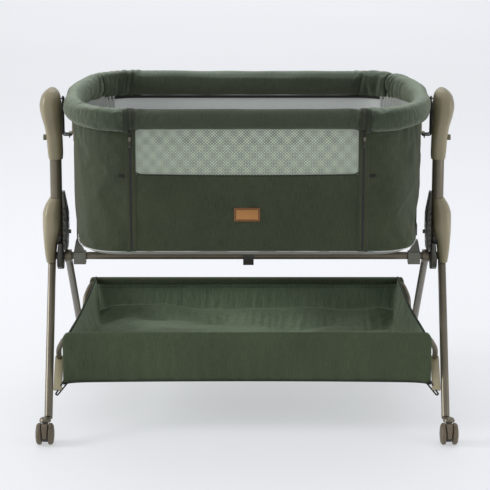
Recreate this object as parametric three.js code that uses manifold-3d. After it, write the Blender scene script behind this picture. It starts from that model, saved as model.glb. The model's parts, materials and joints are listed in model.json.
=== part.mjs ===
// Bedside bassinet on a folding, height-adjustable stand with a fabric storage basket.
// Millimetres, +Z up, +X to the right along the cross bar, the drop-down front side facing -Y.
// The origin is on the floor under the centre of the object.
import * as THREE from 'three';
import { mergeVertices } from 'three/addons/utils/BufferGeometryUtils.js';
import Module from 'manifold-3d';

const wasm = await Module();
wasm.setup();

// ---- driving dimensions ----
const GAP = 0.3;                      // between faces that touch
const COLUMN_X = 450;                 // centre of each upright
const COLUMN_RADIUS = 14;
const INNER_COLUMN_RADIUS = 11;
const COLUMN_TOP = 700;
const COLUMN_BOTTOM = 400;
const PIVOT_Z = 352;                  // cross bar, about which all four legs fold
const BAR_RADIUS = 9;
const HUB_TOP = 493;
const HUB_BOTTOM = 341;
const HOUSING_BOTTOM = 587;

const WHEEL_RADIUS = 24.5;
const SWIVEL_Y = 340;                 // swivel axis of a caster, in front of and behind the bar
const CASTER_TRAIL = 12;              // wheel axle ahead of the swivel axis
const CASTER_TOP = 49;                // top of the swivelling fork
const FRONT_CASTER_X = 455.5;
const REAR_CASTER_X = 426.5;
const LEG_FOOT_Y = 329;
const LEG_FOOT_Z = 55;

const RIM_Z = 726;                    // middle of the padded rim
const RIM_LENGTH = 401.7;             // half-length and half-width of the rim's centre line
const RIM_WIDTH = 274;
const RIM_STRAIGHT = 250;             // the rim is straight between -X and +X here
const RIM_POWER = 2.6;                // how square the ends are (2 is an ellipse)
const RIM_TUBE_RADIUS = 10;
const RIM_TUBE_Z = RIM_Z - 1;
const RAIL_LENGTH = 263;              // half-length of the drop-down rail
const WALL_TOP = 698.4;
const WALL_BOTTOM = 428;
const WALL_LENGTH = [398, 387];       // half-length of the tub at its top and bottom
const WALL_WIDTH = [271, 263];
const WALL_THICKNESS = 4;
const MATTRESS_THICKNESS = 40;

const HANGER_X = 410.75;              // where the tub hangs on each side
const HANGER_Z = 645;
const HANGER_WIRE = 2.3;
const HANGER_SPREAD = 12;

const BASKET_BAR_Y = 254;
const BASKET_BAR_Z = 226;
const BASKET_BAR_RADIUS = 6.2;
const BASKET_FLOOR_Z = 118;

// ---- finishes ----
const finish = (color, roughness, metalness = 0) => ({ color, roughness, metalness });
const TAUPE_TUBE = finish(0x827c6e, 0.42, 0.4);
const TAUPE_SHELL = finish(0x8c8470, 0.5);
const DARK_SHELL = finish(0x35332c, 0.6);
const OLIVE_PLASTIC = finish(0x4b4836, 0.55);
const GREY_CLAMP = finish(0x616056, 0.6);
const DARK_WIRE = finish(0x2c2b29, 0.4, 0.6);
const CASTER_TYRE = finish(0x584f41, 0.6);
const GREEN_FABRIC = finish(0x3c4337, 0.9);
const BASKET_FABRIC = finish(0x404939, 0.9);
const WEBBING = finish(0x2b2c27, 0.85);
const LINER = finish(0xd8d6d0, 0.9);
const BOARD = finish(0x8a8578, 0.8);
const ZIP_METAL = finish(0xb9b4a8, 0.35, 0.7);

const bassinetOnStand = new THREE.Group();

function addPart(name, geometry, { color, roughness, metalness }) {
  const clean = facingOut(geometry);
  clean.computeVertexNormals();
  const mesh = new THREE.Mesh(clean, new THREE.MeshStandardMaterial({ color, roughness, metalness }));
  mesh.name = name;
  bassinetOnStand.add(mesh);
}

// ---- geometry helpers ----
function bare(geometry) {
  const copy = geometry.clone();
  copy.deleteAttribute('normal');
  copy.deleteAttribute('uv');
  return mergeVertices(copy, 1e-3);
}

function signedVolume(geometry) {
  const p = geometry.attributes.position;
  const [a, b, c] = [new THREE.Vector3(), new THREE.Vector3(), new THREE.Vector3()];
  let volume = 0;
  for (let i = 0; i < geometry.index.count; i += 3) {
    a.fromBufferAttribute(p, geometry.index.getX(i));
    b.fromBufferAttribute(p, geometry.index.getX(i + 1));
    c.fromBufferAttribute(p, geometry.index.getX(i + 2));
    volume += a.dot(b.cross(c));
  }
  return volume;
}

function facingOut(geometry) {
  const clean = bare(geometry);
  if (signedVolume(clean) < 0) {
    const order = clean.index.array;
    for (let i = 0; i < order.length; i += 3) {
      [order[i], order[i + 1]] = [order[i + 1], order[i]];
    }
  }
  return clean;
}

function solid(geometry) {
  const clean = facingOut(geometry);
  return new wasm.Manifold(new wasm.Mesh({
    numProp: 3,
    vertProperties: clean.attributes.position.array,
    triVerts: new Uint32Array(clean.index.array),
  }));
}

function shape(manifold) {
  const { vertProperties, triVerts } = manifold.getMesh();
  const geometry = new THREE.BufferGeometry();
  geometry.setAttribute('position', new THREE.BufferAttribute(vertProperties, 3));
  geometry.setIndex(new THREE.BufferAttribute(triVerts, 1));
  return geometry;
}

const cut = (body, ...tools) =>
  shape(tools.reduce((rest, tool) => rest.subtract(solid(tool)), solid(body)));
const join = (first, ...others) =>
  shape(others.reduce((sum, body) => sum.add(solid(body)), solid(first)));
const reflect = (geometry, x, y = 1) => geometry.clone().scale(x, y, 1);

function block([x0, x1], [y0, y1], [z0, z1]) {
  const box = new THREE.BoxGeometry(x1 - x0, y1 - y0, z1 - z0);
  return box.translate((x0 + x1) / 2, (y0 + y1) / 2, (z0 + z1) / 2);
}

function rod(from, to, radius, sides = 16) {
  const [start, end] = [new THREE.Vector3(...from), new THREE.Vector3(...to)];
  const axis = end.clone().sub(start);
  const cylinder = new THREE.CylinderGeometry(radius, radius, axis.length(), sides);
  const turn = new THREE.Quaternion().setFromUnitVectors(new THREE.Vector3(0, 1, 0), axis.normalize());
  return cylinder.applyQuaternion(turn).translate(...start.add(end).multiplyScalar(0.5).toArray());
}

// An upright open-ended tube.
function uprightTube(x, inner, outer, bottom, top, sides = 20) {
  const wall = [[inner, bottom], [outer, bottom], [outer, top], [inner, top], [inner, bottom]];
  const tube = new THREE.LatheGeometry(wall.map(([r, z]) => new THREE.Vector2(r, z)), sides);
  return tube.rotateX(Math.PI / 2).translate(x, 0, 0);
}

// A bent wire or bar: straight runs joined by rounded bends.
function bentRod(points, radius, bend, sides, bendSteps = 4) {
  const corners = points.map((point) => new THREE.Vector3(...point));
  const stations = [corners[0]];
  for (let i = 1; i < corners.length - 1; i += 1) {
    const back = corners[i - 1].clone().sub(corners[i]);
    const ahead = corners[i + 1].clone().sub(corners[i]);
    const reach = Math.min(bend, back.length() * 0.45, ahead.length() * 0.45);
    const bendStart = corners[i].clone().add(back.setLength(reach));
    const bendEnd = corners[i].clone().add(ahead.setLength(reach));
    stations.push(...new THREE.QuadraticBezierCurve3(bendStart, corners[i], bendEnd).getPoints(bendSteps));
  }
  stations.push(corners.at(-1));
  return loft(ringsAlong(stations, radius, sides));
}

// Round rings along a row of points, turned as little as possible from one to the next.
function ringsAlong(stations, radius, sides) {
  const direction = (i) => stations[Math.min(i + 1, stations.length - 1)].clone()
    .sub(stations[Math.max(i - 1, 0)]).normalize();
  const along = direction(0);
  const seed = Math.abs(along.x) < 0.9 ? new THREE.Vector3(1, 0, 0) : new THREE.Vector3(0, 1, 0);
  const across = seed.projectOnPlane(along).normalize();
  return stations.map((centre, i) => {
    const here = direction(i);
    across.applyQuaternion(new THREE.Quaternion().setFromUnitVectors(along, here));
    across.projectOnPlane(here).normalize();
    along.copy(here);
    const up = here.clone().cross(across);
    return Array.from({ length: sides }, (_, j) => {
      const angle = (j / sides) * Math.PI * 2;
      const spoke = across.clone().multiplyScalar(radius * Math.cos(angle));
      return spoke.addScaledVector(up, radius * Math.sin(angle)).add(centre);
    });
  });
}

// A skin over a row of rings that all have the same number of points.
function loft(rings, closed = false) {
  const count = rings[0].length;
  const positions = rings.flat().flatMap((point) => point.toArray());
  const faces = [];
  const quad = (a, b, c, d) => faces.push(a, b, c, a, c, d);
  const spans = closed ? rings.length : rings.length - 1;
  for (let i = 0; i < spans; i += 1) {
    const next = (i + 1) % rings.length;
    for (let j = 0; j < count; j += 1) {
      const k = (j + 1) % count;
      quad(i * count + j, i * count + k, next * count + k, next * count + j);
    }
  }
  if (!closed) {
    const lastStart = (rings.length - 1) * count;
    for (const [ring, start, flip] of [[rings[0], 0, true], [rings.at(-1), lastStart, false]]) {
      const cap = THREE.ShapeUtils.triangulateShape(flattened(ring), []);
      for (const [a, b, c] of cap) {
        faces.push(start + a, start + (flip ? c : b), start + (flip ? b : c));
      }
    }
  }
  const geometry = new THREE.BufferGeometry();
  geometry.setAttribute('position', new THREE.Float32BufferAttribute(positions, 3));
  geometry.setIndex(faces);
  return facingOut(geometry);
}

// A planar ring in the two axes of its own plane, for triangulating its cap.
function flattened(ring) {
  const normal = new THREE.Vector3();
  ring.forEach((point, i) => normal.add(point.clone().cross(ring[(i + 1) % ring.length])));
  normal.normalize();
  const across = ring[1].clone().sub(ring[0]).projectOnPlane(normal).normalize();
  const up = normal.clone().cross(across);
  return ring.map((point) => new THREE.Vector2(point.dot(across), point.dot(up)));
}

// A level ring, oval to nearly square, between two values of X and to both sides of Y = 0.
function levelRing(z, xLow, xHigh, halfY, power = 2.8, count = 20) {
  const [middle, halfX] = [(xLow + xHigh) / 2, (xHigh - xLow) / 2];
  return Array.from({ length: count }, (_, i) => {
    const angle = (i / count) * Math.PI * 2;
    const [c, s] = [Math.cos(angle), Math.sin(angle)];
    const x = middle + halfX * Math.sign(c) * Math.abs(c) ** (2 / power);
    const y = halfY * Math.sign(s) * Math.abs(s) ** (2 / power);
    return new THREE.Vector3(x, y, z);
  });
}

// An outline in Y and Z, extruded to both sides of a value of X.
function sidePlate(outline, x, thickness) {
  const flat = new THREE.Shape(outline.map(([y, z]) => new THREE.Vector2(y, z)));
  const plate = new THREE.ExtrudeGeometry(flat, { depth: thickness, bevelEnabled: false });
  const toSide = new THREE.Matrix4().makeBasis(
    new THREE.Vector3(0, 1, 0), new THREE.Vector3(0, 0, 1), new THREE.Vector3(1, 0, 0));
  return plate.applyMatrix4(toSide).translate(x - thickness / 2, 0, 0);
}

// An outline in X and Z, extruded from one value of Y to another.
function frontPlate(outline, yLow, yHigh) {
  const flat = outline instanceof THREE.Shape
    ? outline
    : new THREE.Shape(outline.map(([x, z]) => new THREE.Vector2(x, z)));
  const plate = new THREE.ExtrudeGeometry(flat, { depth: yHigh - yLow, bevelEnabled: false });
  return plate.rotateX(Math.PI / 2).translate(0, yHigh, 0);
}

// ---- the plan of the tub: straight front and back, rounded ends ----
const END_STEPS = 14;
const SEAM_ANGLE = THREE.MathUtils.degToRad(87.34);

// Points round the tub from the front seam on the right to the one on the left, by way of the back.
function aroundTub(length, width) {
  const straight = RIM_STRAIGHT;
  const right = Array.from({ length: END_STEPS + 1 }, (_, i) => {
    const angle = -SEAM_ANGLE + (2 * SEAM_ANGLE * i) / END_STEPS;
    const [c, s] = [Math.cos(angle), Math.sin(angle)];
    const x = straight + (length - straight) * c ** (2 / RIM_POWER);
    return new THREE.Vector2(x, width * Math.sign(s) * Math.abs(s) ** (2 / RIM_POWER));
  });
  const left = right.toReversed().map(({ x, y }) => new THREE.Vector2(-x, y));
  return [...right, ...left];
}

// A section (out from the plan line, height) carried round the tub.
function sweepRoundTub(section, plan, closed) {
  const rings = plan.map((here, i) => {
    const atSeam = !closed && (i === 0 || i === plan.length - 1);
    const before = plan[(i + plan.length - 1) % plan.length];
    const after = plan[(i + 1) % plan.length];
    const along = atSeam ? new THREE.Vector2(1, 0) : after.clone().sub(before).normalize();
    return section.map(([out, z]) => new THREE.Vector3(here.x + along.y * out, here.y - along.x * out, z));
  });
  return loft(rings, closed);
}

const roundSection = (radius, z, sides) => Array.from({ length: sides }, (_, i) => {
  const angle = (i / sides) * Math.PI * 2;
  return [radius * Math.cos(angle), z + radius * Math.sin(angle)];
});

// A pad wrapped round the rim tube, with a slit underneath where its two edges meet.
function padSection(halfThickness, halfHeight, z) {
  const [outerPoints, innerPoints, slit] = [13, 8, 0.16];
  const arc = (a, b, zMiddle, count, opening) => Array.from({ length: count }, (_, i) => {
    const angle = -Math.PI / 2 + opening + ((2 * Math.PI - 2 * opening) * i) / (count - 1);
    return [a * Math.cos(angle), zMiddle + b * Math.sin(angle)];
  });
  const holeStep = (2 * Math.PI - 4 * slit) / (innerPoints - 1);
  const hole = (RIM_TUBE_RADIUS + GAP) / Math.cos(holeStep / 2);
  return [
    ...arc(halfThickness, halfHeight, z, outerPoints, slit),
    ...arc(hole, hole, RIM_TUBE_Z, innerPoints, 2 * slit).reverse(),
  ];
}

// ---- stand ----
const crossBar = () => rod([-471, 0, PIVOT_Z], [471, 0, PIVOT_Z], BAR_RADIUS, 20);
const barHole = (x0, x1) => rod([x0, 0, PIVOT_Z], [x1, 0, PIVOT_Z], BAR_RADIUS + 2 * GAP, 20);

const CLIP_X = 3.5;
function centreClip() {
  const outline = [[-12, 366], [12, 366], [13, 342], [8, 330.5], [-8, 330.5], [-13, 342]];
  const body = sidePlate(outline, CLIP_X, 25);
  const grooves = [-9, -4.5, 0, 4.5, 9].map((step) => {
    const x = CLIP_X + step;
    return block([x - 1, x + 1], [-20, -10.5], [320, 370]);
  });
  return cut(body, barHole(-20, 20), ...grooves);
}

// A square clamp on the bar, with a ribbed fan on top where the end webbing is held.
function barClamp() {
  const clamp = block([382.5, 411], [-13, 13], [333.5, 362]);
  const fan = frontPlate([[385, 361], [411, 361], [405.5, 390], [395, 390], [393, 376]], -9.5, 9.5);
  const ribs = [-9.5, 9.5].flatMap((y) => [390, 396, 402, 408].map((x) =>
    rod([x, y, 360], [THREE.MathUtils.mapLinear(x, 390, 408, 396.5, 404), y, 388], 1, 8)));
  return cut(join(clamp, fan), barHole(370, 420), ...ribs);
}

const columnRoom = (bottom, top) =>
  rod([COLUMN_X, 0, bottom], [COLUMN_X, 0, top], COLUMN_RADIUS + 2 * GAP, 20);

function hubCover() {
  const levels = [
    [HUB_BOTTOM, 454, 475.5, 31], [358, 452, 478, 34], [395, 446.8, 481, 38], [430, 439, 483, 38],
    [455, 438, 482, 35], [475, 438, 476.5, 27], [HUB_TOP, 439, 465.6, 16.5],
  ];
  const shell = loft(levels.map((level) => levelRing(...level)));
  const legRoom = block([430, 472.6], [-27.5, 27.5], [320, 392]);
  return cut(shell, legRoom, columnRoom(COLUMN_BOTTOM - GAP, 520));
}

function hubInner() {
  const lowerLevels = [
    [322, 434.4, 450, 12], [330, 434.4, 451, 24], [352, 434.4, 451, 31], [388, 434.4, 446.4, 33],
  ];
  const lower = loft(lowerLevels.map((level) => levelRing(...level, 4)));
  const levels = [
    [372, 424, 436.4, 30], [420, 421.5, 436.4, 30], [455, 421.5, 436.4, 26], [508, 430, 436.4, 12],
  ];
  const upper = loft(levels.map((level) => levelRing(...level, 4)));
  // Triangular pockets in both edges leave a lattice of ribs.
  const lattice = [-1, 1].flatMap((y) => Array.from({ length: 8 }, (_, row) => {
    const z = 378 + row * 12.6;
    const depth = THREE.MathUtils.mapLinear(Math.max(z + 6, 430), 430, 508, 27, 11);
    const [point, base] = row % 2 ? [433.8, 425.6] : [425.6, 433.8];
    const pocket = frontPlate([[base, z], [point, z + 5.3], [base, z + 10.6]], depth, 40);
    return reflect(pocket, 1, y);
  }));
  const pockets = [380, 396, 420, 436, 464, 480].flatMap((z) => [
    block([415, 427], [-14, -1.5], [z, z + 11]),
    block([415, 427], [1.5, 14], [z, z + 11]),
  ]);
  const buttonWell = rod([410, 0, 411], [429, 0, 411], 5.6, 12);
  const rooms = [barHole(420, 460), columnRoom(COLUMN_BOTTOM - GAP, 520), buttonWell];
  return cut(join(lower, upper), ...rooms, ...pockets, ...lattice);
}

const foldButton = () => rod([416.6, 0, 411], [425, 0, 411], 4.8, 12);
const STRAP_HALF_WIDTH = 12.5;
const strap = (x0, x1, z0, z1) => block([x0, x1], [-STRAP_HALF_WIDTH, STRAP_HALF_WIDTH], [z0, z1]);

addPart('cross_bar', crossBar(), TAUPE_TUBE);
addPart('centre_clip', centreClip(), DARK_SHELL);
for (const [side, x] of [['left', -1], ['right', 1]]) {
  addPart(`bar_clamp_${side}`, reflect(barClamp(), x), GREY_CLAMP);
  addPart(`hub_cover_${side}`, reflect(hubCover(), x), TAUPE_SHELL);
  addPart(`hub_inner_${side}`, reflect(hubInner(), x), DARK_SHELL);
  addPart(`fold_button_${side}`, reflect(foldButton(), x), OLIVE_PLASTIC);
  const column = uprightTube(COLUMN_X, COLUMN_RADIUS - 2, COLUMN_RADIUS, COLUMN_BOTTOM, COLUMN_TOP);
  addPart(`column_${side}`, reflect(column, x), TAUPE_TUBE);
}
// The tub's right end tips outwards at its bottom and its left end inwards, so the lower webbing
// lies on the other side of the upper one at each end.
addPart('lower_strap_right', strap(396.2, 398, 390.3, 600), WEBBING);
addPart('lower_strap_left', strap(-402.8, -401, 390.3, 600), WEBBING);

// ---- legs and casters ----
function leg(pivotX, footX, casterX, radius) {
  const tube = rod([pivotX, 0, PIVOT_Z], [footX, -LEG_FOOT_Y, LEG_FOOT_Z], radius);
  const knuckle = rod([pivotX - 8, 0, PIVOT_Z], [pivotX + 7.5, 0, PIVOT_Z], 15, 20);
  const capProfile = [[0, 49.8], [13, 49.8], [13.5, 53], [11, 57.5], [5, 60], [0, 60.5]];
  const cap = new THREE.LatheGeometry(capProfile.map(([r, z]) => new THREE.Vector2(r, z)), 20);
  cap.rotateX(Math.PI / 2).translate(casterX, -SWIVEL_Y, 0);
  const stemHole = rod([casterX, -SWIVEL_Y, 40], [casterX, -SWIVEL_Y, 57], 4.8, 12);
  const belowCap = block([footX - 20, footX + 20], [-380, -290], [20, 49.8]);
  return cut(join(tube, knuckle, cap), barHole(pivotX - 20, pivotX + 20), belowCap, stemHole);
}

const axleY = -SWIVEL_Y - CASTER_TRAIL;

function casterFork(x) {
  const outline = [
    [-15, CASTER_TOP], [11, CASTER_TOP], [11, 42], [-1, 20], [-5, 9], [-9, 6], [-15, 6], [-19, 10],
    [-20, 24], [-15, 40],
  ];
  const arm = sidePlate(outline.map(([y, z]) => [y - SWIVEL_Y, z]), x, 12);
  const stem = rod([x, -SWIVEL_Y, 40], [x, -SWIVEL_Y, 56], 4, 12);
  const axleHole = rod([x - 20, axleY, WHEEL_RADIUS], [x + 20, axleY, WHEEL_RADIUS], 3.2, 12);
  return cut(join(arm, stem), axleHole);
}

// Two wheels on one axle. A flat of the rolling surface rests on the floor.
function wheelPair(x) {
  const sides = 20;
  const tread = WHEEL_RADIUS / Math.cos(Math.PI / sides);
  const half = [
    [0, 20.7], [11, 20.7], [20, 19.3], [tread, 15.5], [tread, 9.5], [22, 7.3], [2.5, 7.3],
  ];
  const profile = [...half, ...half.toReversed().map(([r, across]) => [r, -across])];
  const turned = profile.map(([r, across]) => new THREE.Vector2(r, across));
  const wheels = new THREE.LatheGeometry(turned, sides, Math.PI / sides);
  return wheels.rotateZ(Math.PI / 2).translate(x, axleY, WHEEL_RADIUS);
}

// The brake's tongue hangs between the wheels and narrows downwards.
function brakeTongue(x) {
  const outline = [
    [-15.6, 48.6], [-22, 49.2], [-30, 45.5], [-35.5, 35], [-36.4, 20],
    [-33, 18.5], [-31, 30], [-26, 39], [-15.6, 43.5],
  ];
  const tongue = sidePlate(outline.map(([y, z]) => [y - SWIVEL_Y, z]), 0, 13.6);
  const corners = tongue.attributes.position;
  for (let i = 0; i < corners.count; i += 1) {
    const narrowing = THREE.MathUtils.mapLinear(corners.getZ(i), 18.5, 49, 0.62, 1);
    corners.setX(i, corners.getX(i) * narrowing);
  }
  return tongue.translate(x, 0, 0);
}

for (const [end, y] of [['front', 1], ['rear', -1]]) {
  const isFront = end === 'front';
  const [pivotX, footX, casterX, radius] = isFront
    ? [462.8, 449, FRONT_CASTER_X, 9.4]
    : [424.5, 420, REAR_CASTER_X, 8.6];
  for (const [side, x] of [['left', -1], ['right', 1]]) {
    addPart(`${end}_leg_${side}`, reflect(leg(pivotX, footX, casterX, radius), x, y), TAUPE_TUBE);
    addPart(`${end}_caster_fork_${side}`, reflect(casterFork(casterX), x, y), DARK_SHELL);
    addPart(`${end}_caster_wheels_${side}`, reflect(wheelPair(casterX), x, y), CASTER_TYRE);
    if (isFront) {
      addPart(`brake_tongue_${side}`, reflect(brakeTongue(casterX), x, y), CASTER_TYRE);
    }
  }
}

// ---- storage basket ----
const LEG_SLOPE = LEG_FOOT_Y / (PIVOT_Z - LEG_FOOT_Z);
const legYAt = (z) => -(PIVOT_Z - z) * LEG_SLOPE;
const BRACKET_TOP = 158;

// A socket block on the inboard side of a leg, in line with it, for the end of the basket bar.
function basketBracket(xLow, xHigh) {
  const [top, bottom, halfDepth] = [BRACKET_TOP, 106, 8];
  const outline = [
    [legYAt(top) + halfDepth, top + halfDepth], [legYAt(top) - halfDepth, top],
    [legYAt(bottom) - halfDepth, bottom], [legYAt(bottom) + halfDepth, bottom - halfDepth],
  ];
  const hookSlot = [
    [legYAt(bottom) - 2, bottom + 8], [legYAt(bottom) - 14, bottom + 6], [legYAt(bottom) - 14, bottom + 2],
  ];
  const body = sidePlate(outline, (xLow + xHigh) / 2, xHigh - xLow);
  return cut(body, sidePlate(hookSlot, (xLow + xHigh) / 2, xHigh - xLow + 4));
}

function basketBar(socketX, bendX) {
  const half = [
    [socketX, legYAt(BRACKET_TOP) - 0.3, BRACKET_TOP + 4.6], [socketX, -227, 188],
    [bendX, -BASKET_BAR_Y, BASKET_BAR_Z],
  ];
  const other = half.toReversed().map(([x, y, z]) => [-x, y, z]);
  return bentRod([...half, ...other], BASKET_BAR_RADIUS, 24, 12);
}

// The upright fabric panel in front of a bar; its bottom edge bows upwards in the middle.
function basketPanel(topX, bottomX) {
  const outline = new THREE.Shape();
  outline.moveTo(-topX, 232);
  outline.quadraticCurveTo(-bottomX, 228, -bottomX, 210);
  outline.lineTo(-bottomX, 113);
  outline.quadraticCurveTo(0, 127, bottomX, 113);
  outline.lineTo(bottomX, 210);
  outline.quadraticCurveTo(bottomX, 228, topX, 232);
  return frontPlate(outline, -BASKET_BAR_Y - 10, -BASKET_BAR_Y - 7);
}

// Floor and two ends of the basket in one sheet; narrower at the back.
function basketSling() {
  const [halfY, thickness, top] = [245, 4, 228];
  const [frontX, rearX] = [404, 377];
  const section = (x, y) => [
    [-x, top], [-x + thickness, top], [-x + thickness, BASKET_FLOOR_Z + thickness],
    [x - thickness, BASKET_FLOOR_Z + thickness], [x - thickness, top], [x, top],
    [x, BASKET_FLOOR_Z], [-x, BASKET_FLOOR_Z],
  ].map(([px, pz]) => new THREE.Vector3(px, y, pz));
  return loft([section(frontX, -halfY), section(rearX, halfY)]);
}

for (const [end, y, bracketX, socketX, bendX, panelX] of [
  ['front', 1, [422.5, 441.4], 432, 412, [402, 419]],
  ['rear', -1, [395, 411.4], 403.5, 386, [384, 392]],
]) {
  addPart(`basket_bracket_${end}_left`, reflect(basketBracket(...bracketX), -1, y), TAUPE_SHELL);
  addPart(`basket_bracket_${end}_right`, reflect(basketBracket(...bracketX), 1, y), TAUPE_SHELL);
  addPart(`basket_bar_${end}`, reflect(basketBar(socketX, bendX), 1, y), TAUPE_TUBE);
  addPart(`basket_panel_${end}`, reflect(basketPanel(...panelX), 1, y), BASKET_FABRIC);
}
addPart('basket_sling', basketSling(), BASKET_FABRIC);

// ---- height adjusters: an inner column, the housing on its top, a wire hanger and a button ----
function housing() {
  const levels = [
    [HOUSING_BOTTOM, 433, 466, 16.5], [600, 431.8, 467.6, 17.5], [640, 432.6, 470.5, 21],
    [662, 433.6, 473.8, 27], [690, 433.6, 481, 36], [714, 433.8, 484.5, 40],
    [735, 436, 480.5, 36], [748, 441, 471, 25], [755.5, 449, 460, 10],
  ];
  const shell = loft(levels.map((level) => levelRing(...level, 2.5)));
  const innerRoom = rod([COLUMN_X, 0, 690], [COLUMN_X, 0, 730 + GAP], INNER_COLUMN_RADIUS + 2 * GAP, 20);
  const buttonWell = block([466, 480], [-6.6, 6.6], [631.4, 644.6]);
  return cut(shell, columnRoom(560, COLUMN_TOP + 6), innerRoom, buttonWell);
}

const heightButton = () => block([470, 477.6], [-6, 6], [632, 644]);

function hanger() {
  const [wallX, dropX] = [433.1, 430.6];
  const half = [
    [wallX, -HANGER_SPREAD, 733], [dropX - 2, -HANGER_SPREAD, 733 - 3], [dropX, -HANGER_SPREAD, 722],
    [dropX - 0.4, -HANGER_SPREAD, HANGER_Z], [HANGER_X, -HANGER_SPREAD, HANGER_Z],
  ];
  const other = half.toReversed().map(([x, y, z]) => [x, -y, z]);
  return bentRod([...half, ...other], HANGER_WIRE, 5, 8, 3);
}

for (const [side, x] of [['left', -1], ['right', 1]]) {
  const column = uprightTube(COLUMN_X, INNER_COLUMN_RADIUS - 1.5, INNER_COLUMN_RADIUS, 430, 730);
  addPart(`inner_column_${side}`, reflect(column, x), TAUPE_TUBE);
  addPart(`housing_${side}`, reflect(housing(), x), TAUPE_SHELL);
  addPart(`height_button_${side}`, reflect(heightButton(), x), OLIVE_PLASTIC);
  addPart(`hanger_${side}`, reflect(hanger(), x), DARK_WIRE);
}

// ---- bassinet ----
const rimPlan = aroundTub(RIM_LENGTH, RIM_WIDTH);
const tubeOfRim = () => sweepRoundTub(roundSection(RIM_TUBE_RADIUS, RIM_TUBE_Z, 12), rimPlan);
const padOfRim = () => sweepRoundTub(padSection(22, 27, RIM_Z), rimPlan);

// The skin of the tub round both ends and the back.
function tubWall() {
  const outerTop = aroundTub(WALL_LENGTH[0], WALL_WIDTH[0]);
  const outerBottom = aroundTub(WALL_LENGTH[1], WALL_WIDTH[1]);
  const innerTop = aroundTub(WALL_LENGTH[0] - WALL_THICKNESS, WALL_WIDTH[0] - WALL_THICKNESS);
  const innerBottom = aroundTub(WALL_LENGTH[1] - WALL_THICKNESS, WALL_WIDTH[1] - WALL_THICKNESS);
  const at = ({ x, y }, z) => new THREE.Vector3(x, y, z);
  return loft(outerTop.map((_, i) => [
    at(outerTop[i], WALL_TOP), at(innerTop[i], WALL_TOP),
    at(innerBottom[i], WALL_BOTTOM), at(outerBottom[i], WALL_BOTTOM),
  ]));
}

// A level slab with the plan of the tub.
function tubSlab(inset, bottom, top) {
  const plan = new THREE.Shape(aroundTub(WALL_LENGTH[1] - inset, WALL_WIDTH[1] - inset));
  const slab = new THREE.ExtrudeGeometry(plan, { depth: top - bottom, bevelEnabled: false });
  return slab.translate(0, 0, bottom);
}

const BASE_TUBE_RADIUS = 4.5;
const BASE_TUBE_Z = WALL_BOTTOM - BASE_TUBE_RADIUS - GAP;
const BASE_END_INSET = 10;            // room for the end webbing when the tub tilts
function baseFrame() {
  const plan = aroundTub(WALL_LENGTH[1] - BASE_END_INSET, WALL_WIDTH[1] - 2);
  return sweepRoundTub(roundSection(BASE_TUBE_RADIUS, BASE_TUBE_Z, 8), plan, true);
}

// An upside-down hook that drops over the hanger's wire.
function hangerTab() {
  const [roof, halfRoom] = [HANGER_Z + HANGER_WIRE + GAP, 3.75];
  const outline = [
    [401.4, 629], [HANGER_X - halfRoom, 629], [HANGER_X - halfRoom, roof], [HANGER_X + halfRoom, roof],
    [HANGER_X + halfRoom, 637], [HANGER_X + halfRoom + 2.5, 637], [HANGER_X + halfRoom + 2.5, 651.5],
    [409.5, 651.5], [409.5, 690], [401.4, 690],
  ];
  return frontPlate(outline, -8.5, 8.5);
}

addPart('rim_tube', tubeOfRim(), TAUPE_TUBE);
addPart('rim_pad', padOfRim(), GREEN_FABRIC);
addPart('tub_wall', tubWall(), GREEN_FABRIC);
addPart('base_frame', baseFrame(), TAUPE_TUBE);
addPart('base_board', tubSlab(WALL_THICKNESS + 1, WALL_BOTTOM, 438), BOARD);
addPart('mattress', tubSlab(WALL_THICKNESS + 8, 438 + GAP, 438 + MATTRESS_THICKNESS), LINER);
for (const [side, x] of [['left', -1], ['right', 1]]) {
  addPart(`hanger_tab_${side}`, reflect(hangerTab(), x), TAUPE_SHELL);
  addPart(`end_strap_${side}`, reflect(strap(398.8, 400.6, 404, WALL_TOP), x), WEBBING);
}

// ---- drop-down front side, closed by a zipper at each end ----
const FRONT_LEAN = (WALL_WIDTH[0] - WALL_WIDTH[1]) / (WALL_TOP - WALL_BOTTOM);
const PANEL_HALF_LENGTH = 256;

function straightSweep(section, halfLength) {
  return loft([-halfLength, halfLength].map((x) =>
    section.map(([out, z]) => new THREE.Vector3(x, -RIM_WIDTH - out, z))));
}

function frontPanel() {
  const faceY = (z) => -WALL_WIDTH[1] - (z - WALL_BOTTOM) * FRONT_LEAN;
  const [bottom, top] = [WALL_BOTTOM + 1, 706];
  return sidePlate([
    [faceY(bottom), bottom], [faceY(top), top],
    [faceY(top) + WALL_THICKNESS, top], [faceY(bottom) + WALL_THICKNESS, bottom],
  ], 0, 2 * PANEL_HALF_LENGTH);
}

// The slider of a zipper with the puller that hangs from it; the puller has an eye.
function zipPull(x) {
  const y = -WALL_WIDTH[0] - GAP;
  const slider = block([x - 3, x + 3], [y - 4, y], [681, 690]);
  const puller = block([x - 2, x + 2], [y - 2.2, y - 0.6], [666, 683]);
  const eye = block([x - 0.9, x + 0.9], [y - 4, y + 2], [668.5, 678]);
  return cut(join(slider, puller), eye);
}

const dropRail = straightSweep(roundSection(RIM_TUBE_RADIUS, RIM_TUBE_Z, 12), RAIL_LENGTH);
addPart('drop_rail', dropRail, TAUPE_TUBE);
addPart('drop_rail_pad', straightSweep(padSection(22, 23, RIM_Z + 4), RAIL_LENGTH), GREEN_FABRIC);
addPart('front_panel', frontPanel(), GREEN_FABRIC);
for (const [side, x] of [['left', -1], ['right', 1]]) {
  addPart(`zip_pull_${side}`, zipPull(x * (PANEL_HALF_LENGTH + 5)), ZIP_METAL);
}

export default bassinetOnStand;
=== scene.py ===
import json
import math
from collections import namedtuple
from contextlib import contextmanager

import bmesh
import bpy
import numpy as np
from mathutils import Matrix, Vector, noise


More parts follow.
